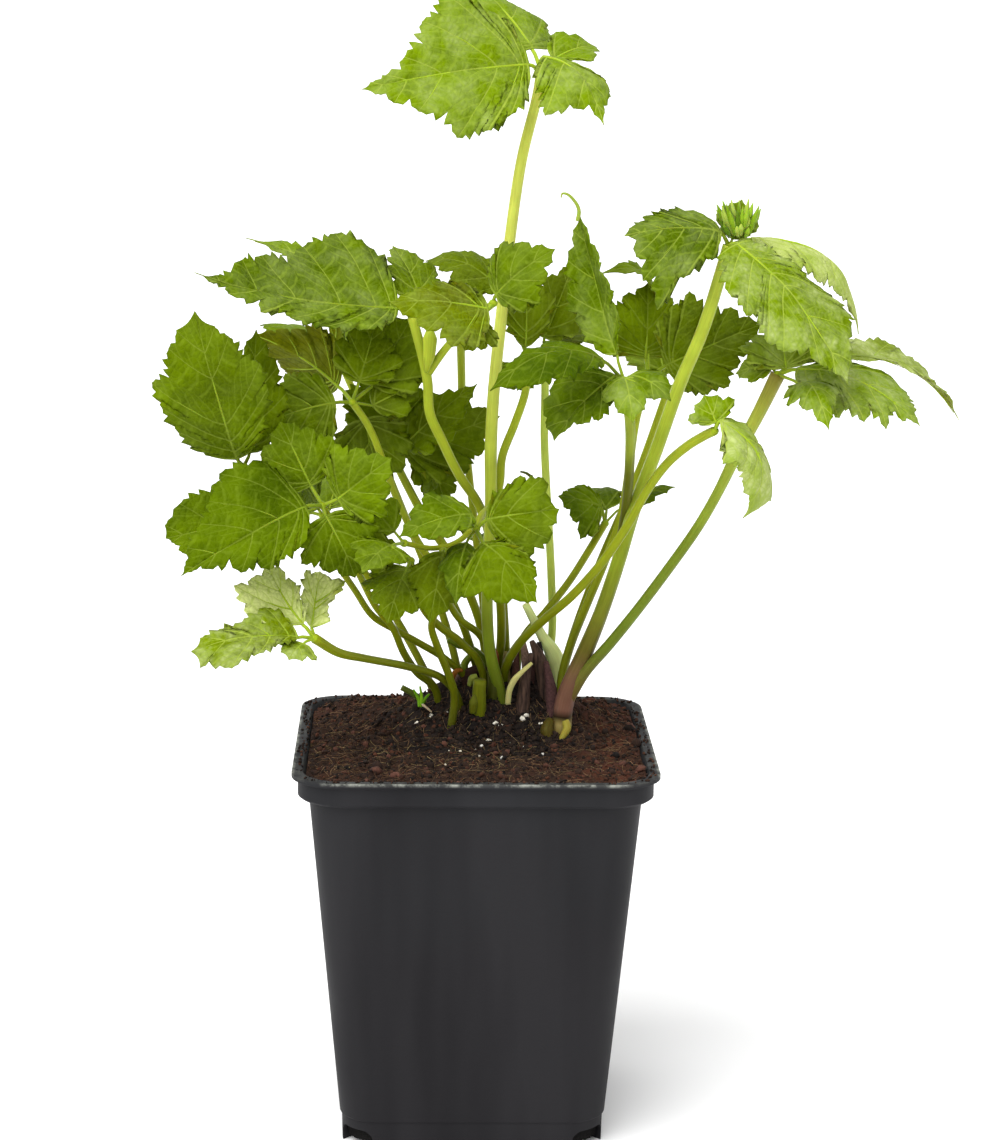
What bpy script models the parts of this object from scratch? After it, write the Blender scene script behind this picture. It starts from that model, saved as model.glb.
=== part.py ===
"""A young Japanese anemone growing in a square black nursery pot.

The plant is built as it grows: petioles and flower stalks rise from a crown in the
compost, and each carries a leaf of lobed, toothed leaflets. Lengths are in millimetres
until a mesh is made. The origin is the middle of the pot's underside, +Z is up and the
side that faces the viewer is -Y.
"""

import math

import bmesh
import bpy
from mathutils import Vector

MM = 0.001

# Pot: a square one-litre pot, 110 mm across its lip and 120 mm high
POT_HEIGHT = 120.0
LIP_HALF = 55.0
LIP_THICK = 1.2
BAND_HALF = 53.2
BAND_HEIGHT = 8.0
WALL_TOP_HALF = 50.0
FOOT_HALF = 40.0
FOOT_STEP_HEIGHT = 9.0
FOOT_STEP = 0.6
WALL_THICK = 1.4
FLOOR_THICK = 2.0
LIP_CORNER = 14.0
FOOT_CORNER = 12.0
CORNER_SIDES = 5
NOTCH_HEIGHT = 6.0
NOTCH_WIDTH = 13.0
NOTCH_LENGTH = 16.0
NOTCH_REACH = 48.0
NOTCH_ROUND = 3.0
EDGE_BREAK = 1.0
DRAIN_RADIUS = 4.0
DRAIN_REACH = 20.0

# Compost: filled to just under the lip, with a mound where the old root ball stands
CLEARANCE = 0.3
SOIL_TOP = 119.0
SOIL_RINGS = 6
SOIL_EDGE_DROP = 0.9
SOIL_BUMP = 0.7
MOUND_CENTRE = (7.0, 14.0)
MOUND_SPREAD = (27.0, 13.0)
MOUND_HEIGHT = 15.0
HEAP_START = 22.0
HEAP_HEIGHT = 4.0

# Plant: blade and petiole sizes
BLADE_THICK = 0.8
NARROW_HALF = 8.5
WAVES = 1.6
WAVE = 0.06
HUB_RADIUS = 1.7
STALKLET = 0.7
STEM_STEPS = 1
STEM_LEVEL = 1

# The eye that the shapes were read from: a point given at depth y lies on the line of
# sight that crosses the plane of the pot's axis at (x, z)
EYE = Vector((-18.0, -924.0, 360.0))

COLOURS = {
    "pot_plastic": ((0.032, 0.032, 0.034), 0.45),
    "compost": ((0.045, 0.020, 0.012), 0.95),
    "leaf_green": ((0.130, 0.300, 0.018), 0.5),
    "stem_green": ((0.360, 0.480, 0.045), 0.4),
    "old_sheath": ((0.110, 0.055, 0.040), 0.8),
}


def seen(x, z, y):
    """The point at depth y that is seen at (x, z) of the plane of the pot's axis."""
    on_plane = Vector((x, 0.0, z))
    reach = (y - EYE.y) / -EYE.y
    return EYE + (on_plane - EYE) * reach


def spline(points, steps):
    """A Catmull-Rom curve through the points, with that many steps in each span."""
    ends = [2 * points[0] - points[1], *points, 2 * points[-1] - points[-2]]
    curve = []
    for a, b, c, d in zip(ends, ends[1:], ends[2:], ends[3:]):
        for i in range(steps):
            t = i / steps
            bend = 2 * a - 5 * b + 4 * c - d
            turn = 3 * b - a - 3 * c + d
            curve.append(0.5 * (2 * b + (c - a) * t + bend * t * t + turn * t**3))
    return [*curve, points[-1]]


def material(name):
    colour, roughness = COLOURS[name]
    made = bpy.data.materials.get(name) or bpy.data.materials.new(name)
    made.use_nodes = True
    shader = made.node_tree.nodes["Principled BSDF"]
    shader.inputs["Base Color"].default_value = (*colour, 1.0)
    shader.inputs["Roughness"].default_value = roughness
    return made


def new_object(name, mesh, collection, finish=None):
    made = bpy.data.objects.new(name, mesh)
    collection.objects.link(made)
    if finish:
        mesh.materials.clear()
        mesh.materials.append(material(finish))
    return made


def mesh_of(points, faces):
    """A closed mesh with its faces pointing out, scaled from millimetres to metres."""
    shape = bmesh.new()
    corners = [shape.verts.new(Vector(p) * MM) for p in points]
    for face in faces:
        shape.faces.new([corners[i] for i in face])
    bmesh.ops.recalc_face_normals(shape, faces=shape.faces)
    mesh = bpy.data.meshes.new("mesh")
    shape.to_mesh(mesh)
    shape.free()
    return mesh


def largest_piece(shape):
    """Removes everything but the largest connected piece of a shape, such as slivers."""
    pieces, seen_faces = [], set()
    for face in shape.faces:
        if face in seen_faces:
            continue
        piece, waiting = [], [face]
        seen_faces.add(face)
        while waiting:
            here = waiting.pop()
            piece.append(here)
            for edge in here.edges:
                for other in edge.link_faces:
                    if other not in seen_faces:
                        seen_faces.add(other)
                        waiting.append(other)
        pieces.append(piece)
    pieces.sort(key=lambda piece: -sum(face.calc_area() for face in piece))
    for piece in pieces[1:]:
        bmesh.ops.delete(shape, geom=piece, context="FACES")


def settle(subject):
    """Replaces an object's curve or modifiers with the mesh that they make."""
    graph = bpy.context.evaluated_depsgraph_get()
    graph.update()
    mesh = bpy.data.meshes.new_from_object(subject.evaluated_get(graph))
    shape = bmesh.new()
    shape.from_mesh(mesh)
    if subject.type == "CURVE":
        bmesh.ops.remove_doubles(shape, verts=shape.verts, dist=1e-6)
    largest_piece(shape)
    shape.to_mesh(mesh)
    shape.free()
    finish = subject.data.materials[0] if subject.data.materials else None
    name, collection = subject.name, subject.users_collection[0]
    bpy.data.objects.remove(subject)
    made = new_object(name, mesh, collection)
    mesh.materials.clear()
    if finish:
        mesh.materials.append(finish)
    return made


def join(subject, others, operation):
    """One Boolean of the subject with a collection of others, which are then removed."""
    group = bpy.data.collections.new("tools")
    bpy.context.scene.collection.children.link(group)
    for other in others:
        for held in list(other.users_collection):
            held.objects.unlink(other)
        group.objects.link(other)
        other.display_type = "WIRE"
        other.hide_render = True
    change = subject.modifiers.new("join", "BOOLEAN")
    change.operand_type = "COLLECTION"
    change.collection = group
    change.operation = operation
    change.solver = "EXACT"
    made = settle(subject)
    for other in list(group.objects):
        bpy.data.objects.remove(other)
    bpy.data.collections.remove(group)
    return made


# Pot and compost


def rounded_square(half, corner, z):
    """A ring of points round a square with rounded corners, the same count each time."""
    ring = []
    for quarter in range(4):
        for side in range(CORNER_SIDES + 1):
            angle = math.radians(90 * (quarter + side / CORNER_SIDES))
            centre = math.radians(45 + 90 * quarter)
            reach = (half - corner) * math.sqrt(2)
            x = reach * math.cos(centre) + corner * math.cos(angle)
            y = reach * math.sin(centre) + corner * math.sin(angle)
            ring.append((x, y, z))
    return ring


def loft(rings):
    """A closed skin over rings of equal count, with a flat face on each end."""
    count = len(rings[0])
    points = [p for ring in rings for p in ring]
    faces = [list(range(count))]
    for level in range(len(rings) - 1):
        for i in range(count):
            j = (i + 1) % count
            low, high = level * count, (level + 1) * count
            faces.append([low + i, low + j, high + j, high + i])
    faces.append([(len(rings) - 1) * count + i for i in range(count)])
    return mesh_of(points, faces)


def wall_half(z):
    """Half the width of the tapered wall's outside at height z."""
    return FOOT_HALF + (WALL_TOP_HALF - FOOT_HALF) * z / (POT_HEIGHT - BAND_HEIGHT)


def corner_at(z):
    return FOOT_CORNER + (LIP_CORNER - FOOT_CORNER) * z / POT_HEIGHT


def cylinder(name, radius, low, high, centre, collection):
    shape = bmesh.new()
    wide, deep = radius * MM, (high - low) * MM
    bmesh.ops.create_cone(shape, cap_ends=True, segments=12, radius1=wide, radius2=wide, depth=deep)
    bmesh.ops.translate(shape, verts=shape.verts, vec=Vector((*centre, (low + high) / 2)) * MM)
    mesh = bpy.data.meshes.new(name)
    shape.to_mesh(mesh)
    shape.free()
    return new_object(name, mesh, collection)


def make_pot(collection):
    band_low = POT_HEIGHT - BAND_HEIGHT
    step = FOOT_STEP_HEIGHT
    floor_half = wall_half(FLOOR_THICK) - WALL_THICK - FOOT_STEP
    outside = [
        rounded_square(FOOT_HALF, FOOT_CORNER, 0.0),
        rounded_square(wall_half(step) - FOOT_STEP, corner_at(step), step),
        rounded_square(wall_half(step), corner_at(step), step + FOOT_STEP),
        rounded_square(WALL_TOP_HALF, corner_at(band_low), band_low),
        rounded_square(BAND_HALF - EDGE_BREAK, LIP_CORNER, band_low),
        rounded_square(BAND_HALF, LIP_CORNER, band_low + EDGE_BREAK),
        rounded_square(BAND_HALF, LIP_CORNER, POT_HEIGHT - LIP_THICK - EDGE_BREAK),
        rounded_square(LIP_HALF, LIP_CORNER, POT_HEIGHT - LIP_THICK),
        rounded_square(LIP_HALF, LIP_CORNER, POT_HEIGHT),
    ]
    inside = [
        rounded_square(BAND_HALF - WALL_THICK, LIP_CORNER - WALL_THICK, POT_HEIGHT),
        rounded_square(WALL_TOP_HALF - WALL_THICK, corner_at(band_low) - WALL_THICK,
                       band_low + EDGE_BREAK),
        rounded_square(floor_half, FOOT_CORNER - WALL_THICK, FLOOR_THICK),
    ]
    pot = new_object("pot", loft(outside + inside), collection, "pot_plastic")
    holes = []
    for x, y in ((-1, -1), (1, -1), (-1, 1), (1, 1)):
        centre = (DRAIN_REACH * x, DRAIN_REACH * y)
        holes.append(cylinder("hole", DRAIN_RADIUS, -FLOOR_THICK, 2 * FLOOR_THICK, centre, collection))
    for quarter in range(4):
        turn = math.radians(45 + 90 * quarter)
        shape = bmesh.new()
        bmesh.ops.create_cube(shape, size=1.0)
        sides = Vector((NOTCH_LENGTH, NOTCH_WIDTH, 2 * NOTCH_HEIGHT))
        bmesh.ops.scale(shape, verts=shape.verts, vec=sides * MM)
        top = []
        for edge in shape.edges:
            a, b = (v.co for v in edge.verts)
            if min(a.z, b.z) > 0 and abs(a.x - b.x) > MM:
                top.append(edge)
        bmesh.ops.bevel(shape, geom=top, offset=NOTCH_ROUND * MM, segments=3, affect="EDGES", profile=0.5)
        bmesh.ops.translate(shape, verts=shape.verts, vec=Vector((NOTCH_REACH, 0, 0)) * MM)
        for v in shape.verts:
            v.co = Vector((v.co.x * math.cos(turn) - v.co.y * math.sin(turn),
                           v.co.x * math.sin(turn) + v.co.y * math.cos(turn), v.co.z))
        mesh = bpy.data.meshes.new("notch")
        shape.to_mesh(mesh)
        shape.free()
        holes.append(new_object("notch", mesh, collection))
    return join(pot, holes, "DIFFERENCE")


def soil_level(x, y):
    """Height of the compost at (x, y): level with small lumps, the root ball's mound and a
    low heap along the back."""
    dx = (x - MOUND_CENTRE[0]) / MOUND_SPREAD[0]
    dy = (y - MOUND_CENTRE[1]) / MOUND_SPREAD[1]
    mound = MOUND_HEIGHT / (1 + (dx * dx + dy * dy) ** 2)
    heap = HEAP_HEIGHT / (1 + math.exp((HEAP_START - y) / 5.0))
    heap *= max(0.0, 1 - (x / 50.0) ** 4) * max(0.0, 1 - (y / 52.0) ** 8)
    lumps = math.sin(x * 0.55 + 1.3 * math.sin(y * 0.31)) * math.cos(y * 0.47 + 0.9 * math.sin(x * 0.23))
    return SOIL_TOP + mound + heap + SOIL_BUMP * lumps


def make_soil(collection):
    """The block of compost: the inside of the pot less a clearance, with a lumpy top."""
    band_low = POT_HEIGHT - BAND_HEIGHT + EDGE_BREAK
    inset = WALL_THICK + CLEARANCE
    floor = FLOOR_THICK + CLEARANCE
    low_half = wall_half(FLOOR_THICK) - inset - FOOT_STEP
    rim_rise = (SOIL_TOP - SOIL_EDGE_DROP - band_low) / (POT_HEIGHT - band_low)
    top_half = WALL_TOP_HALF + (BAND_HALF - WALL_TOP_HALF) * rim_rise - inset
    corner = LIP_CORNER - WALL_THICK
    rings = [
        rounded_square(low_half, FOOT_CORNER - WALL_THICK, floor),
        rounded_square(WALL_TOP_HALF - inset, corner_at(band_low) - WALL_THICK, band_low),
        rounded_square(top_half, corner, SOIL_TOP - SOIL_EDGE_DROP),
    ]
    points = [p for ring in rings for p in ring]
    count = len(rings[0])
    faces = [list(range(count))]
    for low in (0, count):
        for i in range(count):
            j = (i + 1) % count
            faces.append([low + i, low + j, low + count + j, low + count + i])
    start = 2 * count
    for level in range(1, SOIL_RINGS):
        share = 1 - level / SOIL_RINGS
        ring = rounded_square(top_half * share, corner * share, 0.0)
        here = len(points)
        points += [(x, y, soil_level(x, y)) for x, y, _ in ring]
        for i in range(count):
            j = (i + 1) % count
            faces.append([start + i, start + j, here + j])
            faces.append([start + i, here + j, here + i])
        start = here
    points.append((0.0, 0.0, soil_level(0.0, 0.0)))
    faces += [[start + i, start + (i + 1) % count, len(points) - 1] for i in range(count)]
    return new_object("compost", mesh_of(points, faces), collection, "compost")


# Stems


def tube(name, points, radii, collection, finish=None, grow=0.0):
    """A round stem through the points, its radius passing smoothly through the radii."""
    line = spline(points, STEM_STEPS)
    curve = bpy.data.curves.new(name, "CURVE")
    curve.dimensions = "3D"
    curve.bevel_depth = 1.0
    curve.bevel_resolution = STEM_LEVEL
    curve.use_fill_caps = True
    path = curve.splines.new("POLY")
    path.points.add(len(line) - 1)
    for i, point in enumerate(line):
        along = i / (len(line) - 1) * (len(radii) - 1)
        low = min(int(along), len(radii) - 2)
        radius = radii[low] + (radii[low + 1] - radii[low]) * (along - low)
        path.points[i].co = (*(point * MM), 1.0)
        path.points[i].radius = (radius + grow) * MM
    made = bpy.data.objects.new(name, curve)
    collection.objects.link(made)
    if finish:
        curve.materials.append(material(finish))
    return settle(made)


# Each stem: what it grows from, its radii from foot to top, and its points as (x, z, y)
# seen, from the foot to the leaf that it carries
STEMS = {
    "stalk_top": ("soil", (2.0, 1.8, 1.9, 1.7, 1.5), [
        (9, 112, 6), (8.5, 131, 6), (4.5, 148, 4), (3.5, 165, 1), (4, 180, -2), (4.4, 195, -4),
        (4.2, 212, -5), (5, 230, -5), (6.8, 250, -5), (9.3, 275, -5), (12.4, 298, -6),
        (16.6, 316, -6), (18, 325, -6)]),
    "stalk_bud": ("soil", (1.5, 1.4, 1.5, 1.5), [
        (8, 118, 22), (6, 134, 21), (8, 150, 15), (7.5, 165, 9), (5, 180, 5), (1, 193, 0),
        (-5.5, 203, -6), (-11, 214, -10), (-14.5, 222, -12), (-15.3, 232, -13), (-17.5, 242, -14),
        (-20, 251, -14)]),
    "arm_bud": ("stalk_bud", (1.3, 1.1, 1.1), [
        (-15.2, 234, -13), (-9.5, 242, -16), (-2.5, 249.5, -20), (4.5, 255.5, -24)]),
    "flower_bud": ("stalk_bud", (0.7, 1.8, 2.2, 0.4), [
        (-15.6, 234.5, -15), (-14.9, 239, -17), (-14.6, 244.5, -17.5), (-14.6, 249, -17)]),
    "stalk_right": ("soil", (3.1, 3.0, 2.3, 2.1, 2.0, 1.9), [
        (26.6, 106, 0), (27, 118, 0), (28, 132, 0), (33.4, 146, 0), (38.8, 160, 1), (43.8, 176, 1),
        (48.5, 193, 0), (54.8, 211, -4), (61.4, 231, -8), (68.5, 249, -12), (75.4, 273.5, -15)]),
    "petiole_far_right": ("stalk_right", (1.8, 1.6, 1.6, 2.3), [
        (28.5, 131, 0), (34, 141, -2), (41.5, 150, -2), (50, 161, -2), (60, 175, -2),
        (68, 187, -3), (74, 198, -4), (79.5, 210, -7), (86, 223, -9), (91.3, 234.5, -10)]),
    "petiole_mid_right": ("stalk_right", (1.4, 1.4, 1.6), [
        (28.5, 134, 0), (31.5, 143, 6), (37, 154, 9), (41, 166, 10), (43.5, 178, 8), (45.6, 191, 2),
        (46.6, 204, -8), (46.6, 219, -18), (44.6, 232, -25)]),
    "petiole_behind_right": ("stalk_right", (1.5, 1.3, 1.2), [
        (27.5, 130, 0), (27, 139, 8), (29.6, 150, 12), (34.5, 163, 16), (40, 177, 20),
        (44.5, 191, 22), (46.6, 206, 22), (48.6, 221, 21), (52, 233, 20)]),
    "petiole_front_right": ("soil", (1.5, 1.4, 1.4, 1.4), [
        (11, 120, 14), (9, 131, 13), (9.5, 142, 9), (14, 150.5, 3), (21, 157.5, -4),
        (30, 165.5, -9), (39, 176, -11), (46.5, 187.5, -12), (52, 198, -14), (58, 206.5, -18),
        (64, 212, -23), (69.5, 215.5, -28), (72.5, 217, -31)]),
    "petiole_edge_right": ("soil", (1.25, 1.2, 1.2), [
        (15, 120, 20), (13, 136, 22), (14.5, 151, 23), (21.5, 160, 24), (28.6, 169.5, 27),
        (34.4, 179, 31), (39.5, 188, 35)]),
    "petiole_middle": ("soil", (1.25, 1.3, 1.25, 1.2), [
        (22, 122, 26), (22.5, 138, 29), (23.8, 155, 30.5), (23.3, 170, 28), (22.4, 185, 23),
        (21.3, 200, 19), (20.5, 215, 16), (20.5, 230, 13), (20, 241, 11)]),
    "petiole_stalk_side": ("stalk_top", (1.3, 1.3, 1.2), [
        (4.4, 190, -3.5), (7, 200, 0), (7.8, 209, 2), (11.5, 219, 4), (14.6, 229, 5), (15, 239, 4)]),
    "petiole_left_low": ("soil", (1.3, 1.2, 1.2, 1.5), [
        (-4, 120, 4), (-5, 132, 4), (-10, 139, -1), (-20, 142.5, -12), (-33, 145, -28),
        (-42, 147, -38), (-49.5, 151.5, -45)]),
    "petiole_left_upper": ("soil", (1.2, 1.1, 1.0, 1.0), [
        (0, 122, 14), (-1.5, 137, 13), (-9, 145, 8), (-17, 150, 3), (-25, 154.5, -3),
        (-32, 159, -9), (-38, 168, -14), (-48, 182, -19), (-62, 197, -23), (-71, 205, -26)]),
    "petiole_left_front": ("soil", (1.3, 1.2, 1.0, 1.0), [
        (-10, 120, 8), (-12, 135, 8), (-18, 141, 2), (-22, 147, -5), (-25.5, 155, -11),
        (-31, 162, -17), (-36, 172, -24), (-42, 184, -29), (-47, 193, -32)]),
    "petiole_left_back": ("soil", (1.3, 1.2, 1.1, 1.1), [
        (3, 122, 18), (1.5, 138, 18), (-3.5, 155, 12), (-11, 171, 5), (-19, 184, 0),
        (-25, 197, -4), (-29, 208, -7), (-33, 217.5, -9), (-38, 225, -11)]),
    "petiole_centre_back": ("soil", (1.5, 1.4, 1.4, 1.2), [
        (4.5, 122, 26), (4, 140, 27), (1, 158, 25), (-7, 176, 21), (-15.5, 189, 17),
        (-21, 199, 13), (-26, 209, 10)]),
    "petiole_centre_front": ("stalk_top", (1.3, 1.1, 1.1), [
        (4.3, 191, -3.5), (3.5, 192, -13), (1.5, 190, -24), (0, 186, -33)]),
    "petiole_arched_left": ("petiole_centre_front", (0.9, 0.8, 0.8), [
        (2, 190, -21), (-5, 182.5, -22), (-13, 180, -24), (-22, 181.5, -28)]),
    "petiole_low_dark": ("soil", (1.2, 1.1, 1.1), [
        (7, 121, 16), (5.5, 140, 15), (2, 152, 10), (-5, 158, 3), (-9, 165, -7), (-11, 173, -17),
        (-10, 179, -27)]),
    "petiole_low_left": ("soil", (1.3, 1.2, 1.1), [
        (5, 118, 9), (2.5, 141, 9), (-4, 150, 4), (-11, 155.5, -4), (-16, 161, -12),
        (-19, 169, -20), (-20, 176, -25)]),
    "petiole_curved": ("soil", (1.3, 1.2, 1.0), [
        (-8, 118, 0), (-6.2, 132, 0), (-8, 140, -3), (-12, 150, -7), (-13.5, 156, -11),
        (-11, 162, -17)]),
    "petiole_young": ("soil", (1.1, 1.2, 1.1), [
        (10.8, 121, 21.5), (10, 140, 20.5), (9.5, 152, 19), (8.8, 163, 17.5)]),
    "petiole_hidden": ("soil", (1.2, 1.2, 1.3), [
        (5, 121, 36), (4, 145, 36), (1.5, 170, 33), (-2, 200, 29), (-4.4, 222, 24),
        (-5, 236, 19), (-5.3, 246, 15)]),
    "petiole_rear_left": ("soil", (1.3, 1.2, 1.1), [
        (-4, 121, 26), (-5, 140, 30), (-12, 165, 37), (-23, 193, 43), (-34, 220, 46),
        (-42, 238, 44)]),
    "petiole_rear_low": ("soil", (1.3, 1.2, 1.1), [
        (-10, 121, 22), (-14, 138, 28), (-27, 162, 36), (-40, 180, 41), (-47, 190, 42)]),
    "petiole_rear_middle": ("soil", (1.3, 1.2, 1.1), [
        (11, 121, 30), (10, 140, 36), (8, 160, 42), (5, 178, 46)]),
    "petiole_rear_right": ("soil", (1.3, 1.2, 1.1), [
        (24, 121, 32), (28, 145, 37), (37, 173, 43), (49, 203, 47), (58, 230, 48)]),
}

# Old leaf bases and a cut stump at the crown: foot and tip seen, radii from foot to tip
STUBS = {
    "stump_green": ([(1.4, 120, 4), (1.4, 131, 2), (1.6, 138.5, 1)], (2.3, 2.3, 2.0)),
    "sheath_pale": (
        [(25, 121, 17), (26, 136, 16), (24.6, 146, 15), (20.5, 153, 14), (15.5, 162.5, 12)],
        (1.6, 3.0, 2.8, 1.6, 1.2)),
    "sheath_brown_1": (
        [(22, 118, 9), (22.5, 132, 9), (20.5, 144, 9), (17.5, 151, 9)], (2.6, 2.8, 2.2, 0.8)),
    "sheath_brown_2": (
        [(14.5, 118, 4), (15, 130, 4), (16, 141, 4), (17.5, 147, 3)], (2.4, 2.2, 1.5, 0.7)),
    "sheath_brown_3": (
        [(-4, 118, 12), (-5, 131, 13), (-5.5, 137, 14), (-4, 141, 14)], (2.6, 2.2, 1.5, 0.7)),
}


# Leaves


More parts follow.
